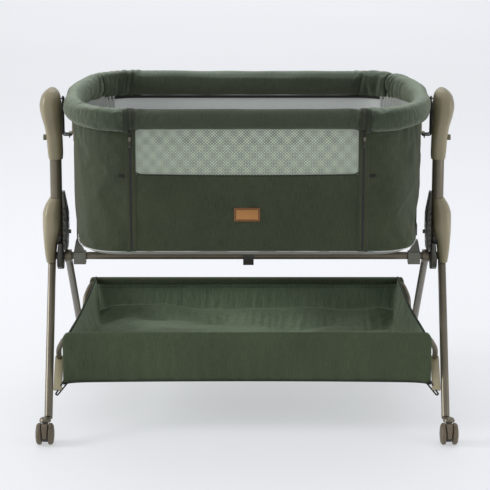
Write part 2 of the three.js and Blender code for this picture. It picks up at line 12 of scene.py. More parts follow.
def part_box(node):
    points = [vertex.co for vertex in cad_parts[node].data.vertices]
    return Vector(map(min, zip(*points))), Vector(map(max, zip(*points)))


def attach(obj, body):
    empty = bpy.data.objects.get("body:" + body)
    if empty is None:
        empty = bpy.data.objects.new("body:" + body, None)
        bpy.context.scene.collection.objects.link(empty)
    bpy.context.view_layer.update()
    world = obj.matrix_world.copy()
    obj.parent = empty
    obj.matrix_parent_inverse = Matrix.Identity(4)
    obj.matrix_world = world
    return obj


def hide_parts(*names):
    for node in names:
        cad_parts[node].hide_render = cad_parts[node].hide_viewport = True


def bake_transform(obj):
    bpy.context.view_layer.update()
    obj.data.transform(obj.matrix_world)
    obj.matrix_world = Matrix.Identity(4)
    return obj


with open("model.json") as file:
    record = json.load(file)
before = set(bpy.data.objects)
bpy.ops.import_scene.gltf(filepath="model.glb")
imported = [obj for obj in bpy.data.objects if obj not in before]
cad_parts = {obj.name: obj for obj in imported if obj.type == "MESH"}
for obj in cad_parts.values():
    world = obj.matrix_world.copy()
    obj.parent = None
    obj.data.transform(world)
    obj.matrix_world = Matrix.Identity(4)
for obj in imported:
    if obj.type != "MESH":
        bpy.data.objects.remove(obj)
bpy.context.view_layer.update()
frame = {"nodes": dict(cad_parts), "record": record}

# ---- sizes, worked out from the frame ----
RIM_LOW, RIM_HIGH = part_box("rim_pad")
TUBE_LOW, TUBE_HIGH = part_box("rim_tube")
WALL_LOW, WALL_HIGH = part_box("tub_wall")
RAIL_LOW, RAIL_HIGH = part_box("drop_rail_pad")
PANEL_LOW, PANEL_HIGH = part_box("front_panel")
MATTRESS_LOW, MATTRESS_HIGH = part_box("mattress")
BAR_LOW, BAR_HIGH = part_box("basket_bar_front")
BAR_RADIUS = 0.0062
SLING_LOW, SLING_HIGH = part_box("basket_sling")

TUBE_RADIUS = (TUBE_HIGH.z - TUBE_LOW.z) / 2
RIM_LENGTH = TUBE_HIGH.x - TUBE_RADIUS
RIM_WIDTH = TUBE_HIGH.y - TUBE_RADIUS
RIM_Z = (RIM_LOW.z + RIM_HIGH.z) / 2
PAD_THICKNESS = RIM_HIGH.x - RIM_LENGTH
PAD_HEIGHT = (RIM_HIGH.z - RIM_LOW.z) / 2
STRAIGHT = 0.25                      # the tub is straight between -X and +X here
SQUARENESS = 2.6                     # of its rounded ends at the rim
BOTTOM_SQUARENESS = 3.6              # and at its bottom edge
SEAM_ANGLE = math.radians(87.34)
REAR_SEAMS = (0.354, -0.364)         # where the rear cover of the rim meets the corner covers
WALL_TOP = (WALL_HIGH.x, WALL_HIGH.y)
WALL_BOTTOM = (WALL_HIGH.x - 0.006, WALL_HIGH.y - 0.008)
PANEL_HALF = PANEL_HIGH.x
SEAM_X = 0.264                       # where the wall of the tub ends beside the zipper
ZIP_X = (PANEL_HALF + SEAM_X) / 2
SIDES = (("left", -1), ("right", 1))
FORWARD = (0, -1, 0)
GREEN_THICKNESS = 0.0016             # of the sewn green fabric, its bindings and the zippers' tapes
BASKET_THICKNESS = 0.0014
PIPING_WIDTH = 0.0026


# ---- meshes ----
def configure(target, **settings):
    for name, value in settings.items():
        setattr(target, name, value)


def add_object(name, data):
    made = bpy.data.objects.new(name, data)
    bpy.context.scene.collection.objects.link(made)
    return made


def add_piece(name, points, faces, cloth=None):
    mesh = bpy.data.meshes.new(name)
    mesh.from_pydata([tuple(map(float, p)) for p in points], [], faces)
    if cloth is not None:
        layer = mesh.uv_layers.new(name="cloth")
        layer.data.foreach_set("uv", np.asarray(cloth, float).ravel())
    mesh.shade_smooth()
    return add_object(name, mesh)


@contextmanager
def editing(piece):
    """Opens a piece's mesh for bmesh and writes it back."""
    work = bmesh.new()
    work.from_mesh(piece.data)
    yield work
    work.to_mesh(piece.data)
    work.free()


def grid_piece(name, rings, along, across, wrap=False, keep=None, capped=False):
    """A skin over rows of points. along and across are the cloth's own coordinates, in metres."""
    rows, columns = rings.shape[:2]
    spans = columns if wrap else columns - 1
    faces, cloth = [], []
    for i in range(rows - 1):
        for j in range(spans):
            if keep is not None and not keep[i, j]:
                continue
            k = (j + 1) % columns
            faces.append((i * columns + j, i * columns + k, (i + 1) * columns + k, (i + 1) * columns + j))
            cloth += [(along[i], across[j]), (along[i], across[j + 1])]
            cloth += [(along[i + 1], across[j + 1]), (along[i + 1], across[j])]
    if capped:
        last = (rows - 1) * columns
        faces += [tuple(reversed(range(columns))), tuple(last + j for j in range(columns))]
        cloth += [(along[0], across[j]) for j in range(columns)]
        cloth += [(along[-1], across[j]) for j in range(columns)]
    piece = add_piece(name, rings.reshape(-1, 3), faces, cloth)
    face_out(piece)
    return piece


def face_out(piece):
    with editing(piece) as work:
        loose = [vertex for vertex in work.verts if not vertex.link_faces]
        bmesh.ops.delete(work, geom=loose, context="VERTS")
        bmesh.ops.recalc_face_normals(work, faces=work.faces)


def coordinates(mesh):
    found = np.zeros(len(mesh.vertices) * 3, np.float32)
    mesh.vertices.foreach_get("co", found)
    return found.reshape(-1, 3).astype(float)


def settle(piece):
    """Puts what the modifiers make into the mesh itself."""
    graph = bpy.context.evaluated_depsgraph_get()
    made = bpy.data.meshes.new_from_object(
        piece.evaluated_get(graph), preserve_all_data_layers=True, depsgraph=graph)
    piece.modifiers.clear()
    piece.data = made
    return piece


def thicken(piece, thickness, inside=None, smooth=True):
    """Gives a sheet its thickness, inwards, with another material on its inner side where one is named."""
    if smooth:
        piece.modifiers.new("Smooth", "SUBSURF").levels = 1
    walls = piece.modifiers.new("Thickness", "SOLIDIFY")
    configure(walls, thickness=thickness, offset=-1)
    if inside is not None:
        piece.data.materials.append(inside)
        walls.material_offset = 1
    return settle(piece)


def simulate(piece, pinned, pressure=0.0, gravity=0.0, growth=0.0, cap=0.004, frames=20):
    """Cloth simulation from the modelled shape, with the pinned points held and no point moved past cap."""
    scene = bpy.context.scene
    before = coordinates(piece.data)
    group = piece.vertex_groups.new(name="pinned")
    group.add([int(i) for i in np.flatnonzero(pinned)], 1.0, "REPLACE")
    cloth = piece.modifiers.new("Cloth", "CLOTH")
    configure(cloth.settings, quality=6, mass=0.15, tension_stiffness=12, compression_stiffness=12,
              bending_stiffness=0.4, vertex_group_mass=group.name, shrink_min=-growth)
    cloth.settings.effector_weights.gravity = gravity
    if pressure:
        configure(cloth.settings, use_pressure=True, uniform_pressure_force=pressure)
    configure(cloth.point_cache, frame_start=1, frame_end=frames)
    for number in range(1, frames + 1):
        scene.frame_set(number)
    graph = bpy.context.evaluated_depsgraph_get()
    after = coordinates(piece.evaluated_get(graph).data)
    piece.modifiers.remove(cloth)
    piece.vertex_groups.remove(group)
    scene.frame_set(1)
    move = after - before
    far = np.linalg.norm(move, axis=1, keepdims=True)
    move *= np.minimum(1, cap / np.maximum(far, 1e-9))
    piece.data.vertices.foreach_set("co", (before + move).astype(np.float32).ravel())
    piece.data.update()


@np.vectorize
def wave(x, y, z):
    """Smooth noise from -1 to 1."""
    return noise.noise(Vector((x, y, z)))


def crease(x, y, z):
    """Noise with sharp ridges, from -1 to 1."""
    return 1 - 2.6 * np.abs(wave(x, y, z))


def unit(vectors):
    return vectors / np.maximum(np.linalg.norm(vectors, axis=-1, keepdims=True), 1e-9)


def distances(line):
    """How far along a line each of its points is."""
    return np.concatenate([[0], np.cumsum(np.linalg.norm(np.diff(line, axis=0), axis=1))])


def points_at(where, arc, line):
    """The points of a line at those distances along it."""
    return np.stack([np.interp(where, arc, column) for column in np.transpose(line)], -1)


def circle(count):
    """Even angles once round, without repeating the first."""
    return np.linspace(0, 2 * math.pi, count, endpoint=False)


def rounded(angle, squareness):
    """The cosine and the sine of an angle, bent from a circle (squareness 2) towards a square."""
    return [np.sign(v) * np.abs(v) ** (2 / squareness) for v in (np.cos(angle), np.sin(angle))]


def strip(name, path, facing, width, thickness, closed=False, sides=10, squareness=2.0):
    """A band, cord or piping along a path: width lies in the surface and thickness along facing."""
    path = np.asarray(path, float)
    facing = np.broadcast_to(np.asarray(facing, float), path.shape)
    if closed:
        ahead = np.roll(path, -1, 0) - np.roll(path, 1, 0)
    else:
        ahead = np.gradient(path, axis=0)
    ahead = unit(ahead)
    side = unit(np.cross(ahead, facing))
    out = np.cross(side, ahead)
    a, b = rounded(circle(sides)[:, None], squareness)
    rings = path[:, None] + side[:, None] * a * width / 2 + out[:, None] * b * thickness / 2
    if closed:
        rings = np.concatenate([rings, rings[:1]])
        path = np.concatenate([path, path[:1]])
    along = distances(path)
    across = np.linspace(0, 2 * (width + thickness), sides + 1)
    piece = grid_piece(name, rings, along, across, wrap=True, capped=not closed)
    if closed:
        weld(piece)
    return piece


def weld(piece, distance=1e-6):
    with editing(piece) as work:
        bmesh.ops.remove_doubles(work, verts=work.verts, dist=distance)


BOX_FACES = [(k, (k + 1) % 4, (k + 1) % 4 + 4, k + 4) for k in range(4)] + [(3, 2, 1, 0), (4, 5, 6, 7)]


def stitches(name, path, facing, length=0.0032, pitch=0.005, width=0.0008):
    """A row of short raised stitches along a path."""
    path = np.asarray(path, float)
    facing = unit(np.broadcast_to(np.asarray(facing, float), path.shape))
    arc = distances(path)
    points, faces = [], []
    for start in np.arange(pitch / 2, arc[-1] - length, pitch):
        ends = points_at((start, start + length), arc, path)
        out = points_at(start, arc, facing)
        side = unit(np.cross(ends[1] - ends[0], out)) * width / 2
        rise = out * width / 2
        faces += [tuple(len(points) + k for k in face) for face in BOX_FACES]
        for end in ends:
            points += [end - side - rise, end + side - rise, end + side * 0.6 + rise, end - side * 0.6 + rise]
    piece = add_piece(name, points, faces)
    face_out(piece)
    return piece


def dressed(piece, body, material, *replaced, slot=None):
    """Gives a piece its material and puts it on its body."""
    if not piece.data.materials:
        piece.data.materials.append(material)
    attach(piece, body)
    if replaced:
        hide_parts(*replaced)
    return piece


def band(name, path, facing, width, thickness, body, material, **shape):
    """A strip in its material, on its body."""
    return dressed(strip(name, path, facing, width, thickness, **shape), body, material)


# ---- materials ----
ONE_WAVE = 0.314                     # the scale at which a wave texture repeats once a metre


def srgb(red, green, blue):
    """A display colour, from 0 to 255, as a linear one from 0 to 1."""
    shares = [value / 255 for value in (red, green, blue)]
    return tuple(s / 12.92 if s <= 0.04 else ((s + 0.055) / 1.055) ** 2.4 for s in shares) + (1,)


def fill(made, inputs):
    """Links or sets a node's inputs, named or numbered."""
    for name, value in inputs.items():
        if isinstance(value, bpy.types.NodeSocket):
            made.id_data.links.new(value, made.inputs[name])
        else:
            made.inputs[name].default_value = value


def node(tree, kind, inputs=None, **settings):
    made = tree.nodes.new(kind)
    configure(made, **settings)
    fill(made, inputs or {})
    return made


def blank_material(name, roughness, metallic=0.0):
    material = bpy.data.materials.new(name)
    material.use_nodes = True
    shader = material.node_tree.nodes["Principled BSDF"]
    fill(shader, {"Roughness": roughness, "Metallic": metallic})
    return material, material.node_tree, shader


def noise_map(vector, scale, detail=2.0, stretch=(1, 1, 1)):
    """Noise from 0 to 1 over a vector that is stretched first."""
    tree = vector.id_data
    placed = node(tree, "ShaderNodeMapping", {"Vector": vector, "Scale": stretch})
    made = node(tree, "ShaderNodeTexNoise", {"Vector": placed.outputs[0], "Scale": scale, "Detail": detail})
    return made.outputs["Fac"]


def mixed(share, first, second):
    """A mix of two colours; at least one of the three is a socket."""
    values = {"Factor_Float": share, "A_Color": first, "B_Color": second}
    tree = next(v.id_data for v in values.values() if isinstance(v, bpy.types.NodeSocket))
    made = node(tree, "ShaderNodeMix", data_type="RGBA")
    numbers = {socket.identifier: number for number, socket in enumerate(made.inputs)}
    fill(made, {numbers[name]: value for name, value in values.items()})
    return next(socket for socket in made.outputs if socket.identifier == "Result_Color")


def maths(operation, first, second=0.0):
    made = node(first.id_data, "ShaderNodeMath", {0: first, 1: second}, operation=operation)
    return made.outputs[0]


def plus(first, second):
    return maths("ADD", first, second)


def times(first, second):
    return maths("MULTIPLY", first, second)


def spread(value, low, high):
    """value from low..high mapped to 0..1 and held there."""
    inputs = {"Value": value, "From Min": low, "From Max": high}
    return node(value.id_data, "ShaderNodeMapRange", inputs).outputs[0]


def bands(cloth, pitch, way, distortion=0.0):
    """Ribs or threads at that pitch, across one of the cloth's own coordinates."""
    inputs = {"Vector": cloth, "Scale": ONE_WAVE / pitch, "Distortion": distortion}
    return node(cloth.id_data, "ShaderNodeTexWave", inputs, bands_direction=way).outputs["Fac"]


def woven(name, dark, light, pitch=0.0011, slub=1.0, sheen=0.2, rib=0.0, top_highlight=None, wrinkle=0.0):
    """Linen-like cloth: slubby threads both ways, fine wrinkles, a soft sheen, and a painted highlight on
    upward-facing surfaces.
    """
    material, tree, shader = blank_material(name, 0.9)
    place = node(tree, "ShaderNodeTexCoord")
    cloth = place.outputs["UV"]
    weft = noise_map(cloth, 1, 3, (46, 1050, 1))
    warp = noise_map(cloth, 1, 3, (1050, 46, 1))
    both = plus(times(weft, 0.7), times(warp, 1.3))
    slow = noise_map(place.outputs["Object"], 7, 3)
    shade = plus(times(both, slub), times(slow, 0.7))
    low = slub + 0.35
    colour = mixed(spread(shade, low - 0.46, low + 0.46), srgb(*dark), srgb(*light))
    threads = times(bands(cloth, pitch, "X"), bands(cloth, pitch, "Y"))
    height = plus(times(threads, 0.5), both)
    if rib:
        ribs = bands(cloth, rib, "X", 0.6)
        height = plus(times(ribs, 2.5), height)
        colour = mixed(times(ribs, 0.35), colour, srgb(*light))
    # painted highlight: where the surface faces up, the colour is mixed towards a lighter one
    if top_highlight is not None:
        normal = node(tree, "ShaderNodeNewGeometry").outputs["Normal"]
        upward = node(tree, "ShaderNodeSeparateXYZ", {"Vector": normal}).outputs["Z"]
        colour = mixed(spread(upward, 0.42, 1.1), colour, mixed(0.55, colour, srgb(*top_highlight)))
    bump = node(tree, "ShaderNodeBump", {"Height": height, "Strength": 0.55, "Distance": 0.0006})
    if wrinkle:
        ridges = maths("ABSOLUTE", maths("SUBTRACT", noise_map(cloth, 1, 2, (72, 17, 1)), 0.5))
        bump = node(tree, "ShaderNodeBump", {"Height": ridges, "Strength": wrinkle, "Distance": 0.006,
                                             "Normal": bump.outputs[0]}, invert=True)
    fill(shader, {"Base Color": colour, "Normal": bump.outputs[0], "Sheen Weight": sheen,
                  "Sheen Tint": (0.8, 0.9, 0.66, 1), "Sheen Roughness": 0.5})
    return material


def open_mesh(name, dark, light, openness, contrast):
    """Knitted mesh: fine holes in offset rows, and soft diamonds where two layers fall in and out of step."""
    material, tree, shader = blank_material(name, 0.7)
    parts = node(tree, "ShaderNodeSeparateXYZ", {"Vector": node(tree, "ShaderNodeTexCoord").outputs["UV"]})

    def rows(axis, pitch):
        return maths("COSINE", times(parts.outputs[axis], 2 * math.pi / pitch))

    fine = times(rows(0, 0.0071), rows(1, 0.0067))
    broad = times(rows(0, 0.030), rows(1, 0.034))
    both = plus(fine, times(broad, contrast))
    hole = times(spread(both, 0.1, -0.6), openness)
    fill(shader, {"Base Color": mixed(spread(both, -0.6, 0.8), srgb(*dark), srgb(*light))})
    clear = node(tree, "ShaderNodeBsdfTransparent")
    sheer = node(tree, "ShaderNodeMixShader", {0: hole, 1: shader.outputs[0], 2: clear.outputs[0]})
    fill(tree.nodes["Material Output"], {"Surface": sheer.outputs[0]})
    return material


def moulded(name, dark, light, roughness=0.5, metallic=0.0, edge_wear_and_highlight=0.35, grain=420, bump=0.12):
    """Plastic or powder-coated steel: fine grain, slow changes of tone, edges lightened as wear and painted
    highlight.
    """
    material, tree, shader = blank_material(name, roughness, metallic)
    place = node(tree, "ShaderNodeTexCoord").outputs["Object"]
    fine = noise_map(place, grain, 2)
    shade = plus(noise_map(place, 9, 3), times(fine, 0.5))
    base = mixed(spread(shade, 0.5, 1.0), srgb(*dark), srgb(*light))
    # edges found by pointiness are lightened, partly as wear and partly as a painted highlight
    edge = spread(node(tree, "ShaderNodeNewGeometry").outputs["Pointiness"], 0.52, 0.60)
    wear_and_highlight_colour = tuple(min(1, value * 1.7) for value in srgb(*light)[:3]) + (1,)
    raised = node(tree, "ShaderNodeBump", {"Height": fine, "Strength": bump, "Distance": 0.0004})
    fill(shader, {"Base Color": mixed(times(edge, edge_wear_and_highlight), base, wear_and_highlight_colour), "Normal": raised.outputs[0]})
    return material


GREEN = woven("green_linen", (29, 37, 20), (60, 68, 43), sheen=0.07, wrinkle=0.3)
# the rim's cloth, with a painted highlight on its upward-facing surfaces
GREEN_RIM = woven("green_rim", (29, 37, 23), (60, 69, 50), sheen=0.3, top_highlight=(132, 143, 128), wrinkle=0.6)
GREEN_BAND = woven("green_band", (23, 30, 18), (46, 53, 36), sheen=0.1)
GREEN_RAIL = woven("green_rail", (33, 40, 27), (60, 68, 49), rib=0.0034, sheen=0.12, wrinkle=0.25)
GREEN_EDGE = woven("green_edge", (20, 25, 16), (38, 44, 30), pitch=0.0009, slub=0.6, sheen=0.08)
BASKET = woven("basket_cloth", (40, 50, 31), (71, 82, 56), pitch=0.0014, sheen=0.1, wrinkle=0.35)
# the basket cloth's inner side, painted much lighter than its outside: painted light for the light reaching
# into the basket
BASKET_INSIDE_PAINTED_LIGHT = woven("basket_inside_painted_light", (84, 99, 78), (133, 148, 122), pitch=0.0014, wrinkle=0.8)
BASKET_DARK = woven("basket_binding", (24, 28, 20), (42, 48, 36), pitch=0.0014, sheen=0.05)
LINER = woven("white_liner", (196, 198, 195), (226, 227, 224), slub=0.5)
# the same white lining painted grey: painted shade for the gathered lining inside the tub's ends
LINER_GATHERED_SHADED = woven("gathered_liner_painted_shade", (128, 131, 127), (176, 178, 174), slub=0.6)
KNIT = woven("mattress_knit", (188, 190, 187), (222, 222, 218), pitch=0.0022, slub=0.6)
TAPE = woven("black_tape", (14, 16, 12), (28, 31, 24), pitch=0.0009, slub=0.6, sheen=0.05)
WEBBING = woven("webbing", (22, 23, 19), (48, 50, 42), pitch=0.0018, slub=0.5, rib=0.003, sheen=0.08)
PIPING = woven("piping", (150, 151, 145), (202, 203, 198), pitch=0.0016, slub=0.5)
SLEEVE = woven("base_sleeve", (98, 100, 94), (142, 143, 138), pitch=0.0016, slub=0.5)
WINDOW = open_mesh("window_mesh", (20, 28, 14), (202, 214, 190), 0.6, 0.3)
WINDOW_REAR = open_mesh("window_mesh_rear", (126, 130, 125), (222, 225, 222), 0.3, 0.1)
LABEL = moulded("label_leather", (130, 82, 32), (182, 128, 64), 0.5, grain=900, bump=0.5, edge_wear_and_highlight=0.1)
LABEL_EDGE = moulded("label_edge", (92, 55, 20), (126, 80, 34), 0.6, grain=900, bump=0.5, edge_wear_and_highlight=0.1)
THREAD = moulded("thread", (40, 46, 34), (70, 77, 60), 0.8)
THREAD_TAN = moulded("thread_tan", (58, 32, 14), (84, 50, 24), 0.8)
ZIP_TEETH = moulded("zip_teeth", (9, 10, 8), (20, 22, 18), 0.5)
SLOT_LOOKS = {                       # dark, light, roughness, metallic, edge wear and painted highlight
    "taupe_tube": ((90, 83, 69), (110, 102, 86), 0.32, 0.35),
    "taupe_plastic": ((124, 115, 89), (148, 138, 111), 0.34),
    # dark_plastic's edges are lightened strongly: a painted highlight standing in for glints on its ribs
    "dark_plastic": ((36, 35, 30), (62, 60, 53), 0.42, 0.0, 0.9),
    "olive_plastic": ((70, 67, 50), (96, 92, 70), 0.5),
    "grey_plastic": ((88, 88, 78), (112, 111, 100), 0.55),
    "dark_wire": ((36, 36, 34), (66, 65, 61), 0.35, 0.6),
    "caster_plastic": ((76, 66, 50), (100, 88, 69), 0.5),
    "zip_metal": ((70, 68, 60), (112, 108, 96), 0.22, 0.9),
    "fibre_board": ((128, 122, 108), (150, 144, 130), 0.8),
}
SLOT_MATERIALS = {name: moulded(name, *look) for name, look in SLOT_LOOKS.items()}


# ---- hard parts: the frame's own shapes with rounded edges ----
def polished(name, body, slot, bevel):
    piece = add_object(name + "_finished", frame["nodes"][name].data.copy())
    with editing(piece) as work:
        bmesh.ops.remove_doubles(work, verts=work.verts, dist=1e-5)
        bmesh.ops.dissolve_limit(work, angle_limit=math.radians(2), verts=work.verts, edges=work.edges)
    edges = piece.modifiers.new("Edges", "BEVEL")
    configure(edges, width=bevel, segments=2, limit_method="ANGLE", angle_limit=math.radians(36))
    settle(piece)
    piece.data.materials.clear()
    piece.data.shade_smooth()
    piece.data.set_sharp_from_angle(angle=math.radians(50))
    return dressed(piece, body, SLOT_MATERIALS[slot], name, slot=slot)


SHELLS = ("housing", "hub_cover")
SOFT = ("rim_pad", "tub_wall", "mattress", "drop_rail_pad", "front_panel", "basket_panel_front",
        "basket_panel_rear", "basket_sling", "end_strap_left", "end_strap_right",
        "lower_strap_left", "lower_strap_right")
node_body = {name: body for body, names in frame["record"]["behaviour"]["bodies"].items() for name in names}
for part in frame["record"]["subparts"]:
    name, slot = part["node"], part["material_slot"]
    if name in SOFT or name.startswith(SHELLS):
        continue
    smallest = min(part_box(name)[1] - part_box(name)[0])
    polished(name, node_body[name], slot, min(0.0012, smallest * 0.08))


def level_ring(level, count=64, squareness=2.5):
    """One level of a moulded shell: (height, nearest X, furthest X, half-depth)."""
    z, near, far, half = level
    a, b = rounded(circle(count), squareness)
    return np.stack([(near + far) / 2 + (far - near) / 2 * a, half * b, np.full(count, z)], 1)


def smooth_levels(levels, count):
    """More levels between the given ones, on smooth curves that don't overshoot."""
    levels = np.asarray(levels, float)
    z = levels[:, 0]
    steps = np.diff(levels, axis=0) / np.diff(z)[:, None]
    slopes = np.zeros_like(levels)
    inner = steps[:-1] * steps[1:] > 0
    slopes[1:-1] = np.where(inner, 2 * steps[:-1] * steps[1:] / np.where(inner, steps[:-1] + steps[1:], 1), 0)
    slopes[0], slopes[-1] = steps[0], steps[-1]
    heights = z[0] + (z[-1] - z[0]) * (1 - np.cos(np.linspace(0, math.pi, count))) / 2
    at = np.clip(np.searchsorted(z, heights, side="right") - 1, 0, len(z) - 2)
    span = (z[at + 1] - z[at])[:, None]
    t = ((heights - z[at])[:, None]) / span
    return ((2 * t ** 3 - 3 * t ** 2 + 1) * levels[at] + (t ** 3 - 2 * t ** 2 + t) * span * slopes[at]
            + (3 * t ** 2 - 2 * t ** 3) * levels[at + 1] + (t ** 3 - t ** 2) * span * slopes[at + 1])


def shell(name, body, levels, side, ridge):
    """A moulded shell with a ridge down its front and back, open below where a tube passes through it."""
    levels = smooth_levels(levels, 56)
    levels[:, 0] = np.clip(levels[:, 0], levels[0, 0], None)
    rings = np.array([level_ring(level) for level in levels])
    parting_width, ridge_width, wall = 0.0009, 0.005, 0.0022
    across_face = rings[..., 0] - rings[..., 0].mean(axis=1, keepdims=True)
    parting = np.exp(-((across_face + ridge) / parting_width) ** 2)
    raised = np.exp(-np.abs(across_face - ridge) / ridge_width)
    rings[..., 1] *= 1 + 0.07 * raised - 0.02 * parting
    rings[..., 0] *= side
    along = np.linspace(0, float(np.ptp(levels[:, 0])), len(rings))
    across = np.linspace(0, 0.2, rings.shape[1] + 1)
    piece = grid_piece(name + "_finished", rings, along, across, wrap=True)
    close_top(piece, rings[-1])
    thicken(piece, wall, smooth=False)
    piece.data.materials.clear()
    dressed(piece, body, SLOT_MATERIALS["taupe_plastic"], name, slot="taupe_plastic")


def close_top(piece, ring):
    """Fills the topmost ring of an open shell."""
    top = ring[:, 2].max() - 1e-5
    with editing(piece) as work:
        border = [edge for edge in work.edges if edge.is_boundary and all(v.co.z > top for v in edge.verts)]
        bmesh.ops.holes_fill(work, edges=border)
        bmesh.ops.recalc_face_normals(work, faces=work.faces)


def levels_in_box(node_name, shares):
    """Levels from shares of a node's box: (of its height, of its width twice, of its half-depth)."""
    low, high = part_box(node_name)
    tall, wide = high.z - low.z, high.x - low.x
    return [(low.z + tall * h, low.x + wide * a, low.x + wide * b, high.y * d) for h, a, b, d in shares]


def hub_core(side, sign):
    """The dark core between a hub's two shells, at the foot of the column."""
    foot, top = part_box("column_right")
    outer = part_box("hub_inner_right")[1].x + 0.002
    heights = foot.z + np.linspace(-0.018, 0.004, 6)
    rings = np.array([level_ring((z, foot.x + 0.001, outer, top.y), squareness=4) for z in heights])
    rings[..., 0] *= sign
    piece = grid_piece(f"hub_core_{side}", rings, heights, np.linspace(0, 0.08, 65), wrap=True, capped=True)
    dressed(piece, "stand", SLOT_MATERIALS["dark_plastic"])


HOUSING_LEVELS = levels_in_box("housing_right", [
    (0, 0.02, 0.65, 0.41), (0.08, 0, 0.68, 0.44), (0.31, 0.015, 0.735, 0.525), (0.445, 0.034, 0.797, 0.675),
    (0.61, 0.034, 0.934, 0.9), (0.754, 0.038, 1, 1), (0.878, 0.08, 0.924, 0.9), (0.955, 0.175, 0.744, 0.625),
    (1, 0.33, 0.535, 0.25)])
HUB_LEVELS = levels_in_box("hub_cover_right", [
    (0, 0.36, 0.842, 0.816), (0.112, 0.315, 0.9, 0.895), (0.355, 0.2, 0.966, 1), (0.586, 0.025, 1, 1),
    (0.75, 0, 0.99, 0.92), (0.88, 0, 0.865, 0.71), (1, 0.025, 0.62, 0.434)])
for side, sign in SIDES:
    shell(f"housing_{side}", f"{side}_lift", HOUSING_LEVELS, sign, 0.0135)
    shell(f"hub_cover_{side}", "stand", HUB_LEVELS, sign, 0.0125)
    hub_core(side, sign)


# ---- the plan of the tub ----
def grid(first, second):
    """Two sets of values as a grid, rows along the first."""
    return np.meshgrid(first, second, indexing="ij")


def tub_plan(length, width, count, squareness=SQUARENESS, seam_angle=SEAM_ANGLE):
    """Even points round the tub from the right front seam to the left one, and which way is out at each."""
    a, b = rounded(np.linspace(-seam_angle, seam_angle, 500), squareness)
    right = np.stack([STRAIGHT + (length - STRAIGHT) * a, width * b], 1)
    line = np.concatenate([right, right[::-1] * [-1, 1]])
    arc = distances(line)
    even = np.linspace(0, arc[-1], count)
    points = points_at(even, arc, line)
    ahead = unit(np.gradient(points, axis=0))
    return points, np.stack([ahead[:, 1], -ahead[:, 0]], 1), even


RIM_COUNT = 460
rim_points, rim_outward, rim_arc = tub_plan(RIM_LENGTH, RIM_WIDTH, RIM_COUNT)
rim_bend = np.linalg.norm(np.gradient(rim_outward, axis=0), axis=1)
rim_bend = np.clip(rim_bend / rim_bend.max() * 1.4, 0, 1)
rim_back = np.clip((rim_points[:, 1] + 0.02) / 0.25, 0, 1)
at_back = rim_points[:, 1] > 0
rear_right = int(np.argmax(at_back & (rim_points[:, 0] < REAR_SEAMS[0])))
rear_left = int(np.argmax(at_back & (rim_points[:, 0] < REAR_SEAMS[1])))
RING = circle(44)
PAD_PERIMETER = 0.166
PAD_SQUARENESS = 2.3


def padded_sections(half_thickness, half_height, tuck):
    """Rounded sections, drawn in by tuck where a cover is sewn down."""
    out, up = rounded(RING, PAD_SQUARENESS)
    return np.stack([half_thickness * tuck * out, half_height * tuck * up], -1)


def pad_cover(name, points, outward, z, sections, along, girth, growth, cap):
    """A padded sleeve round a line, blown up a little between its sewn ends."""
    xy = points[:, None] + outward[:, None] * sections[..., :1]
    rings = np.concatenate([xy, z + sections[..., 1:]], -1)
    cover = grid_piece(name, rings, along, np.linspace(0, girth, len(RING) + 1), wrap=True, capped=True)
    ends = np.zeros(rings.shape[:2], bool)
    ends[:2] = ends[-2:] = True
    simulate(cover, ends.ravel(), pressure=4, growth=growth, cap=cap)
    return cover


# ---- the padded rim ----
def rim_cover(name, first, last, seed):
    """One cover of the rim: tight and creased round the bends, slack and hanging lower along the back."""
    chosen = slice(first, last + 1)
    arc, bend = rim_arc[chosen, None], rim_bend[chosen, None]
    x, y = rim_points[chosen, :1], rim_points[chosen, 1:]
    nearest_end = np.minimum(arc - arc[0], arc[-1] - arc)
    at_hanger = np.exp(-(y / 0.04) ** 2) * (np.abs(x) > STRAIGHT)
    half_thickness = PAD_THICKNESS * (1 - 0.16 * bend - 0.14 * at_hanger)
    sections = padded_sections(half_thickness, PAD_HEIGHT, 1 - 0.08 * np.exp(-nearest_end / 0.0035))
    sections[..., 1] *= np.where(sections[..., 1] < 0, 0.84 + 0.46 * rim_back[chosen, None], 1)
    inner = (1 - np.cos(RING)) / 2
    folds = crease(arc * 62 + np.sin(RING) * 0.8, RING * 0.45, seed) * bend * (0.15 + 0.85 * inner ** 2)
    puckers = wave(np.cos(RING) * 3.2, np.sin(RING) * 3.2, seed + 9) * np.exp(-nearest_end / 0.02)
    slack = wave(arc * 11, np.cos(RING), np.sin(RING) + seed)
    long_fold = crease(arc * 6, RING * 0.9, seed + 4) * (0.4 + bend)
    swell = folds * 0.0042 + puckers * 0.0017 + slack * 0.0018 + long_fold * 0.0014
    sections += unit(sections) * swell[..., None]
    cover = pad_cover(name, rim_points[chosen], rim_outward[chosen], RIM_Z, sections, rim_arc[chosen],
                      PAD_PERIMETER, growth=0.016, cap=0.0022)
    dressed(cover, "bassinet", GREEN_RIM, "rim_pad", slot="green_fabric")


rim_cover("rim_cover_right", 0, rear_right, 1)
rim_cover("rim_cover_rear", rear_right + 1, rear_left - 1, 2)
rim_cover("rim_cover_left", rear_left, RIM_COUNT - 1, 3)


